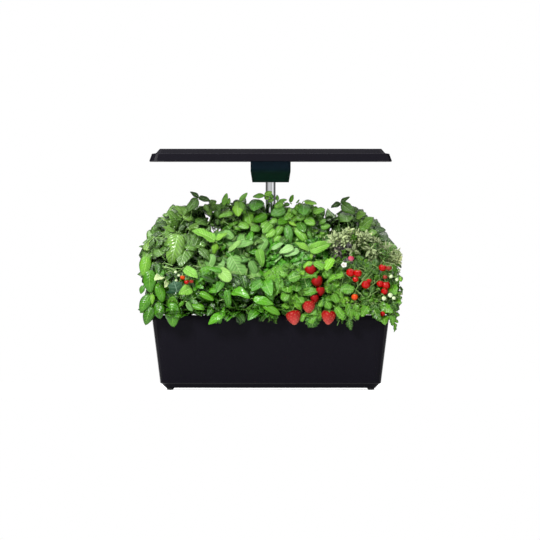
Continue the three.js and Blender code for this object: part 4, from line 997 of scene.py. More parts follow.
# Radii of stems and stalks at their two ends
STALK_ENDS = (0.9 * MM, 0.5 * MM)
SEEN_STALK_ENDS = (0.9 * MM, 0.6 * MM)
RIB_ENDS = (0.7 * MM, 0.4 * MM)
SPRIG_ENDS = (0.6 * MM, 0.3 * MM)
FRAME_ENDS = (1.7 * MM, 0.9 * MM)
TRUSS_ENDS = (0.55 * MM, 0.9 * MM)
FRUIT_STALK_ENDS = (0.45 * MM, 0.7 * MM)


def turned(direction, axis, angle):
    return math.cos(angle) * direction + math.sin(angle) * np.cross(axis, direction)


def add_single(foliage, kind, look, base, forward, normal, length, colour_and_shade):
    return foliage.leaf(kind, base, forward, normal, length, look, colour_and_shade)


def add_trefoil(foliage, kind, look, base, forward, normal, length, colour_and_shade):
    """Three leaflets that spread from the end of one stalk."""
    random = foliage.random
    grown = False
    for angle in (-1.15, 1.15, 0.0):
        way = turned(forward, normal, angle + random.uniform(-0.15, 0.15))
        tilt = level_out(way, normal + random.normal(0, 0.12, 3))
        size = length * random.uniform(0.85, 1.15)
        grown |= foliage.leaf(kind, base + way * 0.05 * length, way, tilt, size, look, colour_and_shade)
    return grown


def add_pinnate(foliage, kind, look, base, forward, normal, length, colour_and_shade):
    """Leaflets in pairs along one rib, with one more at its end."""
    random = foliage.random
    rib = 2.2 * length
    drop = -normal * 0.25 * rib
    path = curve(base - forward * 0.4 * rib, base, base + forward * 0.6 * rib + drop, 6)
    if not foliage.clear(path):
        return False
    foliage.stem(path, RIB_ENDS, sides=4)
    for step, angles in ((2, (-1.1, 1.1)), (4, (-0.95, 0.95)), (5, (0.0,))):
        for angle in angles:
            way = turned(unit(path[step] - path[step - 1]), normal, angle + random.uniform(-0.25, 0.25))
            tilt = level_out(way, normal + random.normal(0, 0.25, 3))
            size = length * random.uniform(0.75, 1.2)
            foliage.leaf(kind, path[step] + way * 0.08 * length, way, tilt, size, look, colour_and_shade)
    return True


def add_sprig(foliage, kind, look, base, forward, normal, length, colour_and_shade):
    """A woody tip with narrow leaves standing off it all round."""
    random = foliage.random
    way = unit(normal + 0.35 * forward + random.normal(0, 0.15, 3))
    reach = 1.5 * length
    path = curve(base - way * 0.6 * reach, base, base + way * 0.4 * reach, 6)
    if not foliage.clear(path):
        return False
    foliage.stem(path, SPRIG_ENDS, sides=4)
    first = level_out(way, forward)
    turn = random.uniform(0, 2 * np.pi)
    for step in range(1, 6):
        turn += math.pi / 2 + random.uniform(-0.3, 0.3)
        for half in (0, math.pi):
            radial = turned(first, way, turn + half)
            leaf_way = unit(way * (0.35 + 0.14 * step) + radial)
            size = length * random.uniform(0.7, 1.1) * (1.1 - 0.08 * step)
            foliage.leaf(kind, path[step], leaf_way, level_out(leaf_way, way), size, look, colour_and_shade)
    return True


HABITS = {"single": add_single, "trefoil": add_trefoil, "pinnate": add_pinnate, "sprig": add_sprig}


def fill_crown(foliage, crown, count, sorts):
    """Leaves all over a crown in layers, most of them facing out and up with their tips trailing."""
    random = foliage.random
    shares = np.array([share for *_, share in sorts])
    depths = np.array([depth for depth, _ in LAYERS])
    weights = np.array([weight for _, weight in LAYERS])
    for way, outward in crown.spots(count, random):
        habit, kind, look, size, _ = sorts[random.choice(len(sorts), p=shares / shares.sum())]
        depth = random.choice(depths, p=weights)
        for _ in range(TRIES):
            length = size * MM * random.uniform(0.7, 1.25)
            spot = crown.centre + way * crown.reach * depth * random.uniform(0.95, 1.0)
            ceiling = canopy_top(spot[0], crown.row) - 0.3 * length
            spot[2] = min(spot[2], ceiling - random.uniform(0, TOP_SPREAD))
            if crown.hidden(spot, outward):
                break
            front = max(0.0, 0.4 - outward[1]) * TO_VIEWER
            normal = unit(outward + LIFT * WORLD_UP + front * VIEWER + random.normal(0, UNEVEN, 3))
            below = WORLD_UP * TRAIL_DOWN * abs(spot[2] - crown.root[2])
            trail = unit(spot - crown.root + random.normal(0, 0.6, 3) * length - below)
            forward = level_out(normal, trail + 0.2 * outward)
            base = spot - forward * length * 0.5 - outward * length * 0.12
            # Painted shade over a random colour: inner layers, front-facing leaves of a row and low leaves
            # are darker
            shade = random.uniform(0, 0.55) + INNER_SHADE * (1.0 - depth)
            if outward[1] < FACES_FRONT:
                shade += ROW_SHADES[crown.row] + max(0.0, (SHADED_LEVEL - spot[2]) / SHADE_FADE)
            colour_and_shade = min(1.0, shade)
            if HABITS[habit](foliage, kind, look, base, forward, normal, length, colour_and_shade):
                inner = base - forward * length * 0.25 - outward * length * 0.35
                if foliage.clear(inner[None]):
                    foliage.stem(curve(inner, base - forward * length * 0.1, base, 4), STALK_ENDS, sides=4)
                break
            depth -= LAYER_STEP


# Patches of small leaves in front of a plant, which the photograph shows or which close its dark depths:
# the habit, kind, look and length of the leaves, the columns and rows that they cover, and their number.
PATCHES = {
    "plant_02_pepper": [
        ("single", "pepper", "pepper", 21, (190, 280), (284, 316), 44),
        ("single", "pepper", "pepper", 11, (190, 208), (310, 315), 30),
        ("sprig", "thyme", "thyme", 5, (263, 276), (313, 323), 12),
    ],
    "plant_03_strawberry": [
        ("trefoil", "strawberry", "strawberry", 15, (283, 345), (268, 318), 34),
        ("trefoil", "strawberry", "lime", 11, (292, 305), (282, 292), 9),
        ("trefoil", "strawberry", "lime", 11, (296, 305), (296, 305), 6),
    ],
    "plant_04_tomato": [
        ("pinnate", "tomato", "tomato", 8, (342, 398), (288, 320), 30),
        ("sprig", "thyme", "thyme", 6, (364, 398), (264, 284), 20),
    ],
    "plant_06_balm": [("single", "dark_basil", "dark_basil", 15, (196, 262), (240, 268), 34)],
    "plant_07_mint": [("trefoil", "parsley", "parsley", 9, (265, 289), (256, 277), 30)],
    "plant_08_sage": [
        ("sprig", "sage", "purple_sage", 9, (334, 350), (244, 262), 26),
        ("sprig", "sage", "sage", 12, (341, 367), (233, 243), 18),
    ],
    "plant_09_darkBasil": [("single", "dark_basil", "dark_basil", 18, (150, 200), (205, 262), 44)],
    "plant_10_basil": [("single", "basil", "dark_basil", 16, (198, 262), (202, 240), 50)],
    "plant_11_basil": [("single", "basil", "top_basil", 15, (280, 330), (202, 240), 56)],
    "plant_12_darkBasil": [("single", "dark_basil", "dark_basil", 16, (345, 395), (212, 256), 40)],
}
PATCH_DEPTH = 7 * MM


def grow_patches(foliage, crown, patches):
    random = foliage.random
    for habit, kind, look, size, columns, rows, count in patches:
        for _ in range(count):
            spot = seen_at(random.uniform(*columns), random.uniform(*rows), ROW_FRONTS[crown.row])
            base = spot - VIEWER * random.uniform(0, PATCH_DEPTH)
            normal = unit(VIEWER + 0.7 * WORLD_UP + random.normal(0, 0.3, 3))
            forward = level_out(normal, random.normal(0, 1, 3) + 0.3 * WORLD_UP)
            length = size * MM * random.uniform(0.7, 1.2)
            if base[2] < canopy_top(base[0]) - length * 0.6:
                HABITS[habit](foliage, kind, look, base, forward, normal, length, random.uniform(0.0, 0.7))


FRAME_STEMS = 11
FRAME_TURN = 2.4
FRAME_SPREAD = 0.8
FRAME_DROP = 20 * MM
FRAME_SWAY = 2 * MM


def grow_frame(foliage, crown):
    """The stems that carry a crown, from its basket to near its leaves."""
    random = foliage.random
    for index in range(FRAME_STEMS):
        turn = FRAME_TURN * index + random.uniform(-0.3, 0.3)
        spread = math.sqrt((index + 0.5) / FRAME_STEMS)
        beside = math.cos(turn) * spread * FRAME_SPREAD
        behind = math.sin(turn) * spread * FRAME_SPREAD
        tip = crown.centre + crown.reach * [beside, behind, 0.75 - 0.5 * spread]
        tip[2] = min(tip[2], canopy_top(tip[0]) - FRAME_DROP)
        bend = np.array([*(crown.root[:2] * 0.6 + tip[:2] * 0.4), tip[2] * 0.7 + crown.root[2] * 0.3])
        path = curve(crown.root + random.normal(0, FRAME_SWAY, 3) * [1, 1, 0], bend, tip, 9)
        if foliage.clear(path[2:]):
            foliage.stem(path, FRAME_ENDS, sides=6)


# How far forward the leaves stand that are set one by one, in each row of pods, and how they are turned
ROW_FRONTS = (-121 * MM, -36 * MM, 30 * MM)
STEP_FORWARD = 0.25 * MM
FACING_UP = 0.45
SWAY = 0.22
WIDENING = 1.16
STEP_CLEAR = 3 * MM

# The kind of leaf for each look below that isn't named after a kind
LOOK_KINDS = {"lime": "basil", "top_basil": "basil", "teal": "basil", "pale_mint": "mint"}


def grow_seen(foliage, crown, leaves):
    """Leaves set one by one, turned to the front as far as their length and width in the table say."""
    for order, (look, base_column, base_row, tip_column, tip_row, wide, colour_and_shade) in enumerate(leaves):
        kind = LOOK_KINDS.get(look, look)
        base = np.array([across(base_column), 0, height(base_row)])
        tip = np.array([across(tip_column), 0, height(tip_row)])
        width = WIDENING * wide * PIXEL
        seen = np.linalg.norm(tip - base)
        length = max(seen, width / KINDS[kind].slim)
        toward = math.sqrt(length**2 - seen**2)
        front = ROW_FRONTS[crown.row] - order * STEP_FORWARD
        base[1] = front + toward / 2
        forward = unit(tip - np.array([base[0], 0, base[2]]) + toward * VIEWER)
        up = level_out(forward, VIEWER + FACING_UP * WORLD_UP + foliage.random.normal(0, SWAY, 3))
        curl = KINDS[kind].curl
        raised = unit(math.cos(curl / 2) * forward + math.sin(curl / 2) * up)
        up = level_out(raised, up)
        stretched = length / np.sinc(curl / 2 / np.pi)
        shape = {"detail": True, "width": width, "curl": curl}
        for _ in range(TRIES):
            if foliage.leaf(kind, base, raised, up, stretched, look, colour_and_shade, **shape):
                inner = base - raised * length * 0.3 - up * length * 0.35
                foliage.stem(curve(inner, base - raised * length * 0.12, base, 5), SEEN_STALK_ENDS)
                break
            base = base + VIEWER * STEP_CLEAR


# Leaves set from the photograph, one by one, in front of their plant: look, the columns and rows of
# base and tip, the width in pixels and how dark the leaf is coloured, its own colour together with painted
# light and shade, from 0 for the lightest to 1.
SEEN_LEAVES = {
    "plant_01_basil": [
        ("basil", 149.2, 269, 150.4, 292.9, 12, 0.35),
        ("lime", 147.1, 255.8, 143.2, 276.3, 10.5, 0.3),
        ("basil", 143.6, 285.2, 140.9, 294, 5, 0.4),
        ("basil", 158.2, 282.9, 162.6, 302.9, 9.5, 0.2),
        ("basil", 150.4, 294.6, 140.2, 311.8, 10, 0.35),
        ("basil", 151.5, 306.2, 145.6, 325.1, 10, 0.6),
        ("lime", 152.6, 294, 151.5, 304.6, 5, 0.2),
        ("basil", 158.2, 301.8, 160.4, 319, 11, 0.5),
        ("basil", 179.3, 306.8, 181.5, 316.8, 4, 0.9),
        ("basil", 183.7, 301.2, 178.2, 307.3, 3, 0.1),
        ("ivy", 178, 294, 174, 281, 13, 0.5),
        ("sage", 163.7, 276.3, 154.6, 280.7, 7, 0.3),
        ("sage", 167, 279.6, 164.3, 287.4, 5, 0.3),
        ("mint", 191.5, 288, 178.4, 294, 9, 0.2),
        ("balm", 187, 302, 193, 310.5, 7, 0.7),
        ("basil", 192.5, 302.5, 204.5, 310, 9, 0.05),
        ("mint", 184.4, 268, 198, 278.5, 9, 0.25),
        ("basil", 172, 301.5, 173.7, 327.3, 14, 0.3),
    ],
    "plant_09_darkBasil": [
        ("dark_basil", 159.8, 249, 150.4, 265, 13, 0.6),
        ("dark_basil", 171.5, 267.4, 165.4, 276.8, 6, 0.05),
        ("dark_basil", 198.5, 197, 189.6, 191.4, 4, 0.9),
        ("dark_basil", 198.5, 197, 210.3, 201, 5, 0.9),
        ("dark_basil", 197, 198, 186.5, 212, 9, 0.4),
        ("dark_basil", 183.3, 212.8, 173.5, 206, 7, 0.1),
        ("dark_basil", 166.4, 224, 153.9, 224.8, 6, 0.9),
        ("dark_basil", 178.4, 226, 166.4, 211, 13, 0.2),
        ("dark_basil", 175.3, 230.6, 161.9, 227.5, 8, 0.15),
        ("dark_basil", 177, 231, 161.5, 239, 13, 0.2),
        ("dark_basil", 163.5, 247, 147.5, 253, 9, 0.3),
        ("top_basil", 198, 235.5, 189, 241, 7, 0.2),
        ("dark_basil", 161, 233.3, 151.2, 235.6, 5, 0.9),
        ("dark_basil", 162.8, 239.6, 141.8, 243.1, 7, 0.3),
        ("dark_basil", 147.1, 248.5, 138.2, 246.3, 3.5, 0.5),
        ("dark_basil", 198.5, 224.4, 186.4, 228.9, 5, 0.1),
    ],
    "plant_05_darkBasil": [
        ("dark_basil", 199, 248, 210, 262, 9, 0.55),
        ("dark_basil", 188, 243, 180, 268, 17, 0.5),
        ("dark_basil", 178, 233, 170.5, 266, 18, 0.15),
    ],
    "plant_10_basil": [
        ("top_basil", 223.2, 204.8, 226.8, 192.7, 5, 0.4),
        ("top_basil", 227.2, 203.9, 229.5, 197.6, 4, 0.3),
        ("dark_basil", 221, 209.2, 214.7, 203.9, 6, 0.4),
        ("top_basil", 233, 212.8, 217.9, 217.3, 5, 0.4),
        ("top_basil", 237.5, 200.3, 238.4, 216.4, 11, 0.1),
        ("top_basil", 239.3, 200.7, 247.3, 192.3, 4, 0.4),
        ("top_basil", 240, 201, 244.6, 213.7, 6, 0.5),
        ("teal", 258, 199, 253.6, 211, 14, 0.4),
        ("top_basil", 264.3, 194.9, 252.7, 196.7, 5, 0.5),
        ("top_basil", 264.5, 194.5, 272.2, 191.5, 4.5, 0.1),
        ("top_basil", 268.3, 193.2, 273.6, 197.8, 4, 0.5),
        ("top_basil", 264.6, 196.3, 269.2, 198.9, 4, 0.1),
        ("top_basil", 267.5, 201.5, 274.4, 198.7, 3.5, 0.3),
        ("basil", 267, 213.7, 253.6, 221.7, 9, 0.1),
        ("top_basil", 268.8, 220.8, 260.7, 227.5, 7, 0.4),
        ("top_basil", 238.4, 223, 249, 228, 8, 0.5),
        ("teal", 259.8, 226.2, 250.4, 230.6, 8, 0.1),
        ("top_basil", 272, 222.5, 262.5, 233, 9, 0.45),
        ("dark_basil", 263, 233, 273, 243.5, 9, 0.35),
        ("top_basil", 275, 229, 266, 238, 8, 0.25),
    ],
    "plant_06_balm": [
        ("balm", 213, 254, 207.5, 268.5, 10, 0.35),
        ("lime", 216, 243, 213.5, 254, 6, 0.0),
        ("mint", 215.6, 239.6, 227.7, 232.9, 5.5, 0.1),
        ("mint", 215.5, 241, 191, 230.5, 11, 0.2),
        ("balm", 234.4, 246, 253.7, 241.8, 6, 0.4),
        ("balm", 228.5, 251, 241.1, 240.5, 5, 0.1),
        ("balm", 230.7, 255.4, 243.9, 280.3, 17, 0.3),
        ("balm", 249.9, 260.8, 256, 273.5, 7, 0.5),
        ("mint", 258.5, 249, 262.5, 267, 8, 0.4),
    ],
    "plant_02_pepper": [
        ("balm", 219, 268.5, 230.7, 281, 11, 0.05),
        ("basil", 200, 272.5, 212, 267.5, 7, 0.1),
        ("pepper", 195.5, 284, 203.5, 278.5, 5, 0.2),
        ("pepper", 196, 285, 204, 288.5, 5, 0.4),
        ("pepper", 222, 272, 207.7, 268.3, 5, 0.3),
        ("pepper", 211, 270.7, 201.6, 275.1, 5, 0.5),
        ("pepper", 222, 281.7, 216.5, 292.7, 7, 0.4),
        ("basil", 199.5, 292, 214, 300.7, 6.5, 0.05),
        ("pepper", 226.3, 289.4, 228.5, 308.6, 7, 0.4),
        ("pepper", 231.5, 292, 249.8, 298.7, 10, 0.0),
        ("pepper", 196.5, 308, 201.5, 316.5, 6, 0.85),
        ("pepper", 213, 306.5, 207, 316, 6, 0.7),
        ("pepper", 225.8, 311.9, 208.2, 324.5, 8, 0.1),
        ("pepper", 235.1, 313.5, 226.9, 321.7, 8, 0.3),
        ("pepper", 259.2, 309.1, 247.7, 320.6, 8, 0.4),
        ("pepper", 263, 281, 251, 291.5, 8, 0.25),
        ("pepper", 264, 280, 271.5, 297, 12, 0.15),
        ("pepper", 253, 298.5, 274, 304.5, 8, 0.05),
        ("basil", 262, 303.5, 280, 315, 8, 0.0),
    ],
    "plant_11_basil": [
        ("top_basil", 277.4, 200.7, 277, 194.3, 3, 0.5),
        ("top_basil", 278.3, 201.2, 287.2, 199.4, 3, 0.5),
        ("lime", 290.3, 202, 293.5, 194.3, 4, 0.2),
        ("top_basil", 283.2, 202, 274.3, 207, 6, 0.3),
        ("teal", 285.4, 208.3, 270.7, 215, 10, 0.4),
        ("teal", 304.2, 203, 304.2, 215.5, 13, 0.4),
        ("top_basil", 304.2, 200.7, 317.1, 203.9, 8, 0.1),
        ("top_basil", 313.1, 211, 325.6, 209.7, 8, 0.3),
        ("basil", 288.1, 217.3, 277.8, 224.4, 9, 0.1),
        ("top_basil", 277.4, 219, 268.9, 223, 5, 0.4),
        ("top_basil", 289, 221.7, 297, 225.7, 3, 0.0),
        ("top_basil", 298.8, 221.7, 305.1, 232.4, 9, 0.9),
        ("top_basil", 305.1, 218.1, 315.3, 224.8, 8, 0.4),
        ("top_basil", 282.8, 224.8, 275.6, 235.6, 7, 0.5),
        ("top_basil", 280, 234, 270.5, 245, 9, 0.4),
        ("dark_basil", 288, 236, 278.5, 247, 8, 0.6),
        ("teal", 287.2, 224.8, 290.3, 243.6, 8, 0.5),
        ("top_basil", 295.3, 227.5, 308.6, 244, 8, 0.4),
        ("top_basil", 308.6, 230.6, 312.2, 240.9, 5, 0.9),
        ("top_basil", 313.6, 227.1, 329.2, 240, 9, 0.4),
    ],
    "plant_07_mint": [
        ("mint", 309.5, 251, 294.2, 242.2, 6, 0.1),
        ("mint", 312.3, 253.2, 310.6, 261.4, 3, 0.0),
        ("pale_mint", 271.7, 249.3, 284.3, 242.7, 4, 0.3),
        ("pale_mint", 293.6, 246.6, 278.8, 253.2, 7, 0.2),
        ("pale_mint", 299.1, 249.9, 287.6, 255.9, 6, 0.3),
        ("pale_mint", 302.4, 258.7, 293.1, 270.7, 8, 0.5),
        ("parsley", 272.2, 280.6, 286.8, 281.7, 4.5, 0.3),
        ("mint", 309.5, 250.4, 332, 242.7, 10, 0.2),
    ],
    "plant_03_strawberry": [
        ("lime", 312.3, 261.9, 303, 268, 5, 0.1),
        ("strawberry", 313.4, 263, 323.8, 269, 7, 0.3),
        ("strawberry", 294.7, 277.3, 317.5, 275.1, 6, 0.6),
        ("strawberry", 302.4, 294.9, 318, 290.5, 7, 0.6),
        ("strawberry", 301, 309.5, 294, 301, 5, 0.1),
        ("strawberry", 314.5, 308.6, 310.6, 323.9, 8, 0.5),
        ("strawberry", 304.6, 313.5, 301.3, 321.7, 4, 0.5),
        ("strawberry", 335.1, 307, 345, 319.7, 7, 0.4),
        ("strawberry", 340, 289, 354.3, 289.5, 8, 0.6),
        ("strawberry", 328.6, 279.6, 343.8, 273.9, 9, 0.35),
        ("strawberry", 331.5, 291.6, 332.8, 284.4, 8, 0.7),
        ("strawberry", 298, 283, 296, 291.6, 8, 0.75),
        ("strawberry", 296.5, 296.5, 302.5, 303.6, 8, 0.5),
        ("strawberry", 333.5, 294, 336.8, 303, 6.5, 0.5),
        ("strawberry", 326, 270.7, 334, 258.7, 9, 0.05),
    ],
    "plant_12_darkBasil": [
        ("dark_basil", 341, 202.7, 350.3, 196.5, 4, 0.7),
        ("dark_basil", 341, 203, 331.4, 207.5, 5, 0.9),
        ("dark_basil", 342, 203.2, 355.8, 212.8, 9, 0.5),
        ("dark_basil", 356.8, 216.6, 366.8, 212.8, 7, 0.1),
        ("dark_basil", 373.5, 230, 386.5, 230, 6, 0.9),
        ("dark_basil", 361.6, 229, 374.5, 217.1, 12, 0.2),
        ("dark_basil", 364.4, 233.8, 378.3, 231.9, 8, 0.15),
        ("dark_basil", 366, 238, 378.8, 243.4, 8, 0.3),
        ("dark_basil", 379.8, 238.6, 388.9, 240.5, 5, 0.9),
        ("dark_basil", 382.2, 244.9, 398.4, 248.2, 7, 0.2),
        ("dark_basil", 394.3, 251, 402, 254, 4, 0.5),
        ("dark_basil", 395.4, 260.4, 402, 268.1, 4, 0.9),
    ],
    "plant_04_tomato": [
        ("tomato", 392.1, 284.6, 396, 295, 8, 0.4),
        ("lime", 400, 276, 401, 282, 4, 0.1),
        ("tomato", 393.8, 301.6, 401.4, 303.8, 6, 0.4),
        ("tomato", 393, 301, 396.8, 310.9, 3, 0.9),
        ("tomato", 369.6, 303.2, 360.9, 316.9, 8, 0.4),
        ("tomato", 379.5, 304.9, 393.2, 312.5, 8, 0.3),
        ("tomato", 383.3, 315.8, 385, 325.1, 8, 0.4),
        ("tomato", 392.1, 314.7, 392.4, 326, 5, 0.5),
        ("tomato", 347.2, 303.2, 351.5, 320.2, 7, 0.4),
        ("tomato", 355.9, 304.3, 357.6, 320.2, 6, 0.4),
        ("tomato", 371.8, 304.9, 380.6, 320.8, 9, 0.8),
    ],
}


SKIRT_LEAVES = 56
SKIRT_SPREAD = (10 * MM, 52 * MM)
SKIRT_RISE = (0.8 * MM, 12 * MM)
SKIRT_LENGTH = 20 * MM
FRINGE_LEAVES = 16
FRINGE_BACK = -106 * MM
FRINGE_SPAN = (-158 * MM, 128 * MM)
FRINGE_LENGTH = 22 * MM


def grow_skirt(foliage, crown, sorts):
    """Low leaves over the deck round a pod, and in the front row a fringe that points to the front."""
    random = foliage.random
    for _ in range(SKIRT_LEAVES):
        _, kind, look, size, _ = sorts[random.choice(len(sorts))]
        turn = random.uniform(0, 2 * np.pi)
        radial = np.array([math.cos(turn), math.sin(turn), 0])
        base = crown.root + radial * random.uniform(*SKIRT_SPREAD) + WORLD_UP * random.uniform(*SKIRT_RISE)
        way = unit(radial + random.uniform(0.1, 0.9) * WORLD_UP + random.normal(0, 0.3, 3))
        up = level_out(way, WORLD_UP + 0.5 * VIEWER)
        length = max(size * MM, SKIRT_LENGTH) * random.uniform(0.7, 1.1)
        # Painted shade: the low leaves round the pod are coloured dark
        foliage.leaf(kind, base, way, up, length, look, random.uniform(0.6, 1.0), curl=0.2)
    for _ in range(FRINGE_LEAVES if crown.row == 0 else 0):
        _, kind, look, size, _ = sorts[random.choice(len(sorts))]
        beside = crown.root[0] + random.uniform(-0.5, 0.5) * POD_PITCH[0]
        within = float(np.clip(beside, *FRINGE_SPAN))
        base = np.array([within, FRINGE_BACK, crown.root[2] + random.uniform(*SKIRT_RISE)])
        way = unit(VIEWER + [random.uniform(-0.7, 0.7), 0, random.uniform(0.0, 0.5)])
        length = max(size * MM, FRINGE_LENGTH) * random.uniform(0.7, 1.1)
        foliage.leaf(kind, base, way, level_out(way, WORLD_UP), length, look, random.uniform(0.2, 0.9))


BASKET_RIM = 5.4 * MM
PLUG_RISE = 2.5 * MM
PLUG_RIM = 0.9 * MM
PLUG_SIDES = 16


def add_plug(foliage, node):
    """The peat plug that fills the basket, with a crumbly crown."""
    low, high = basket_corners(node)
    middle = (low + high) / 2
    radius = (high[0] - low[0]) / 2 - BASKET_RIM
    turn = np.linspace(0, 2 * np.pi, PLUG_SIDES, endpoint=False)
    bottom = corners(node)[0][2] + PLUG_RIM
    crest = high[2] + PLUG_RISE
    profile = [
        (0.3, bottom),
        (0.78, bottom),
        (0.8, bottom),
        (0.98, high[2] - PLUG_RIM),
        (1.0, high[2]),
        (0.8, high[2] + PLUG_RISE * 0.7),
        (0.4, crest),
        (0.08, crest),
    ]
    rings = [
        np.column_stack([
            middle[0] + share * radius * np.cos(turn),
            middle[1] + share * radius * np.sin(turn),
            np.full(PLUG_SIDES, level),
        ])
        for share, level in profile
    ]
    index = np.arange(len(profile) * PLUG_SIDES).reshape(-1, PLUG_SIDES)
    faces = np.concatenate([walls(index), caps(index)])
    points = np.concatenate(rings)
    foliage.add(points, faces, np.zeros((len(points), 3)), "plug")


def grow_plant(node, looks, seed, zones, views):
    count, sorts = PLANTS[node]
    crown = Crown(node)
    foliage = Foliage(seed, zones + views)
    add_plug(foliage, node)
    grow_frame(foliage, crown)
    fill_crown(foliage, crown, count, sorts)
    grow_skirt(foliage, crown, sorts)
    grow_patches(foliage, crown, PATCHES.get(node, []))
    foliage.zones = zones
    grow_seen(foliage, crown, SEEN_LEAVES.get(node, []))
    grow_small_fruit(foliage, crown, SMALL_FRUIT.get(node, []))
    piece = foliage.build(node.replace("plant", "leaves"), looks)
    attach(piece, "planter")
    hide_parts(node)


# Fruit, where the photograph shows it: columns, rows and radii in pixels, after the spot that each truss
# springs from
TRUSSES = {
    "strawberry_truss": (
        (308.8, 296),
        [
            ("berry", 293.6, 317.2, 7.0),
            ("berry", 328.4, 317.0, 6.8),
            ("berry", 308.6, 306.6, 6.2),
        ],
    ),
    "strawberry_cluster": (
        (312, 278),
        [
            ("dark_berry", 310.6, 270.2, 5.6),
            ("dark_berry", 317.3, 281.6, 5.4),
            ("dark_berry", 320.4, 291.2, 4.2),
            ("dark_berry", 314.6, 298.6, 4.0),
        ],
    ),
    "tomato_truss_left": (
        (357.9, 286.3),
        [
            ("red_tomato", 350.4, 272.5, 4.4),
            ("red_tomato", 357.6, 273.1, 4.2),
            ("red_tomato", 355.5, 279.3, 3.0),
            ("red_tomato", 365.8, 284.4, 4.5),
            ("red_tomato", 369.0, 280.3, 2.5),
            ("orange_tomato", 354.6, 296.9, 3.4),
        ],
    ),
    "tomato_truss_right": (
        (382, 278.6),
        [
            ("red_tomato", 382.5, 267.6, 3.9),
            ("brown_tomato", 388.8, 267.8, 3.0),
            ("brown_tomato", 385, 276.9, 2.3),
            ("red_tomato", 380.2, 283.7, 3.6),
            ("red_tomato", 386.1, 285.1, 4.3),
            ("red_tomato", 384.4, 291.1, 3.5),
        ],
    ),
}

# Single small fruit, buds and flowers that grow among the leaves of a plant
SMALL_FRUIT = {
    "plant_01_basil": [
        ("orange_tomato", 182.6, 277.4, 2.5),
        ("red_tomato", 186.5, 281.8, 2.5),
        ("brown_tomato", 191.5, 281.3, 2.1),
        ("bud", 175.6, 272, 1.6),
        ("bud", 178.8, 275.4, 1.4),
        ("bud", 176.2, 280.6, 1.5),
    ],
    "plant_04_tomato": [
        ("red_tomato", 382.2, 313.6, 2.9),
        ("pink_bud", 351, 258.3, 3.0),
        ("bud", 391, 276.3, 2.0),
        ("bud", 396.8, 279.6, 1.7),
        ("bud", 390.2, 295, 2.5),
        ("bud", 383.9, 298.3, 2.4),
        ("bud", 393.8, 298, 2.0),
        ("petal", 343.9, 265.1, 3.3),
    ],
}
FRUIT_SIDES = 20
FRUIT_RINGS = 13
SHOULDER = 0.36
SEEDS = 64
SEED_SIZE = np.array([0.42, 0.3, 0.62]) * MM
SEPALS = {"berry": 9, "dark_berry": 9}
FEW_SEPALS = 5
SMALL_FRUIT_FRONT = -123 * MM
PETALS = 5
HEART_DEPTH = 1 * MM
TRUSS_SEED = 100


def fruit_shape(look, angle, radius):
    """Distance from the axis and height of a fruit's skin, for an angle from the top down to the tip."""
    if look.endswith("berry"):
        across_it = radius * np.sin(angle) * (1 + SHOULDER * np.cos(angle))
        up = radius * 1.12 * np.cos(angle) - radius * 0.16 * np.exp(-((angle / 0.5) ** 2))
    else:
        across_it = radius * np.sin(angle)
        up = radius * 0.94 * np.cos(angle) - radius * 0.14 * np.exp(-((angle / 0.4) ** 2))
    return across_it, up


def add_fruit(foliage, look, centre, radius):
    """A closed body with its calyx and, on a berry, its seeds. Gives the point where its stalk ends."""
    random = foliage.random
    axis = unit(np.array([*random.normal(0, 0.16, 2), 1.0]))
    first = level_out(axis, np.array([1.0, 0.0, 0.0]))
    frame_axes = np.stack([first, np.cross(axis, first), axis])
    angle = np.linspace(0.14, math.pi - 0.14, FRUIT_RINGS)
    out, up = fruit_shape(look, angle, radius)
    around = np.linspace(0, 2 * np.pi, FRUIT_SIDES, endpoint=False)
    local = np.stack(
        [out[:, None] * np.cos(around), out[:, None] * np.sin(around), up[:, None] + 0 * around],
        axis=-1,
    )
    upward = np.arange(FRUIT_RINGS * FRUIT_SIDES).reshape(FRUIT_RINGS, FRUIT_SIDES)[::-1]
    faces = np.concatenate([walls(upward), caps(upward)])
    share = np.repeat(angle / math.pi, FRUIT_SIDES)
    marks = np.column_stack([share, 0 * share, 0 * share + random.uniform(0, 1)])
    foliage.add(centre + local.reshape(-1, 3) @ frame_axes, faces, marks, look)
    if look == "berry":
        add_seeds(foliage, look, centre, radius, frame_axes)
    crest = centre + axis * up[0]
    sepals = SEPALS.get(look, FEW_SEPALS)
    for number in range(sepals):
        turn = 2 * math.pi * number / sepals + random.uniform(-0.15, 0.15)
        way = unit(math.cos(turn) * frame_axes[0] + math.sin(turn) * frame_axes[1] + 0.25 * axis)
        size = radius * random.uniform(0.75, 1.0)
        foliage.leaf("sepal", crest, way, level_out(way, axis), size, "calyx")
    return crest


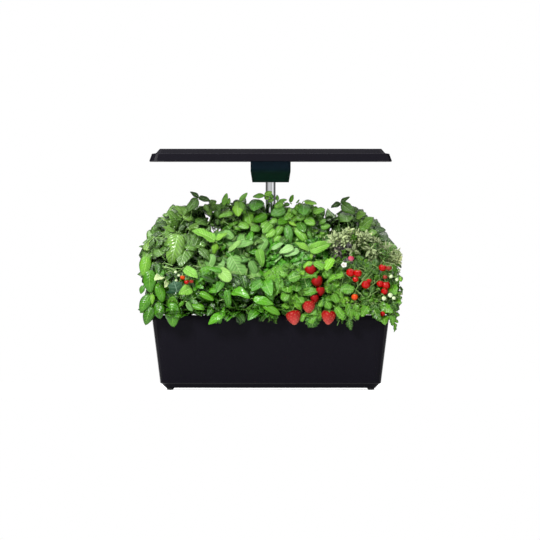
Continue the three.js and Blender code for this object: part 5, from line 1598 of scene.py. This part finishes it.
def add_seeds(foliage, look, centre, radius, frame_axes):
    """Seeds on a spiral over a berry's skin."""
    corner = np.array([[x, y, z] for z in (-1, 1) for x, y in ((-1, -1), (1, -1), (1, 1), (-1, 1))])
    sides = np.array([[0, 1, 5, 4], [1, 2, 6, 5], [2, 3, 7, 6], [3, 0, 4, 7], [3, 2, 1, 0], [4, 5, 6, 7]])
    for number in range(SEEDS):
        angle = math.acos(1 - 2 * (number + 0.5) / SEEDS)
        turn = number * math.pi * (3 - math.sqrt(5))
        out, up = fruit_shape(look, np.array([angle - 0.02, angle, angle + 0.02]), radius)
        radial = np.array([math.cos(turn), math.sin(turn), 0])
        down = unit(radial * (out[2] - out[0]) + WORLD_UP * (up[2] - up[0]))
        normal = np.cross(down, np.cross(radial, down))
        normal = unit(normal if np.dot(normal, radial) + normal[2] * math.cos(angle) > 0 else -normal)
        side = np.cross(normal, down)
        spot = radial * out[1] + WORLD_UP * up[1]
        taper = np.where(corner[:, 2:] > 0, 1.0, 0.45)
        local = corner * SEED_SIZE * np.hstack([taper, taper, np.ones_like(taper)])
        points = spot + local @ np.stack([side, normal, down])
        marks = np.tile([angle / math.pi, 0, 0.5], (8, 1))
        foliage.add(centre + points @ frame_axes, sides, marks, "seed")


def add_flower(foliage, centre, radius):
    """Petals round a small orange heart, turned to the front."""
    facing = unit(VIEWER + 0.4 * WORLD_UP)
    first = level_out(facing, WORLD_UP)
    second = np.cross(facing, first)
    for number in range(PETALS):
        turn = 2 * math.pi * number / PETALS + 0.3
        way = unit(math.cos(turn) * first + math.sin(turn) * second + 0.2 * facing)
        foliage.leaf("petal", centre, way, level_out(way, facing), radius, "petal")
    back = centre - facing * HEART_DEPTH
    heart = np.stack([back, centre, centre + facing * HEART_DEPTH])
    foliage.stem(heart, (0.25 * radius, 0.2 * radius), "seed")
    return back


def seen_at(column, row, depth):
    return np.array([across(column), depth, height(row)])


def grow_trusses(looks):
    """The fruit of each truss, hung on curved stalks from the point where the truss springs."""
    for seed, (node, (spring, fruit)) in enumerate(TRUSSES.items()):
        foliage = Foliage(TRUSS_SEED + seed)
        low, high = corners(node)
        origin = seen_at(*spring, high[1])
        for look, column, row, size in fruit:
            radius = size * PIXEL
            centre = seen_at(column, row, low[1] + radius)
            crest = add_fruit(foliage, look, centre, radius)
            bend = crest + WORLD_UP * 0.8 * radius + (origin - crest) * [0.2, 0.6, 0.2]
            foliage.stem(curve(crest, bend, origin, 9), TRUSS_ENDS, sides=6)
        piece = foliage.build("fruit_" + node, looks)
        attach(piece, "planter")
        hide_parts(node)


def grow_small_fruit(foliage, crown, fruit):
    """Small fruit among the leaves, each on a stalk that comes out of the plant."""
    for look, column, row, size in fruit:
        radius = size * PIXEL
        centre = seen_at(column, row, SMALL_FRUIT_FRONT)
        if look == "petal":
            crest = add_flower(foliage, centre, radius)
        else:
            crest = add_fruit(foliage, look, centre, radius)
        inner = crest + (crown.centre - crest) * [0.15, 0.35, 0.05] + WORLD_UP * radius
        foliage.stem(curve(crest, crest + WORLD_UP * radius, inner, 6), FRUIT_STALK_ENDS)


# Where the photograph shows the deck's lip bare, in columns and rows
BARE_LIP = [
    ((150, 157), (316, 328)),
    ((186, 206), (317, 328)),
    ((361, 382), (315.3, 328)),
]
VIEW_SHARE = 0.8
VIEW_DEPTH = -104 * MM


def free_views():
    """The view of each fruit and of the bare lip from the front, which leaves set at random leave free."""
    every = [spot for node in TRUSSES for spot in TRUSSES[node][1]]
    every += [spot for spots in SMALL_FRUIT.values() for spot in spots]
    views = [
        view_zone(seen_at(column, row, 0), VIEW_SHARE * size * PIXEL, VIEW_DEPTH)
        for _, column, row, size in every
    ]
    for (left, right), (top, bottom) in BARE_LIP:
        low = np.array([across(left), -math.inf, height(bottom)])
        high = np.array([across(right), VIEW_DEPTH, height(top)])
        views.append(box_zone(low, high))
    return views


def view_zone(place, radius, depth=math.inf):
    def inside(points):
        off = np.hypot(points[:, 0] - place[0], points[:, 2] - place[2])
        return (off < radius) & (points[:, 1] < depth)

    return inside


make_camera()
make_world()
for name, light in LIGHTS.items():
    make_light(name, *light)
make_floor()
dress_casings()
looks = make_looks()
zones = make_zones()
views = free_views()
for seed, node in enumerate(PLANTS):
    grow_plant(node, looks, seed, zones, views)
grow_trusses(looks)

scene.view_settings.view_transform = "Standard"

boxes = {"cad": cad_box, "visual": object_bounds()}
{name: [list(corner) for corner in corners] for name, corners in boxes.items()}
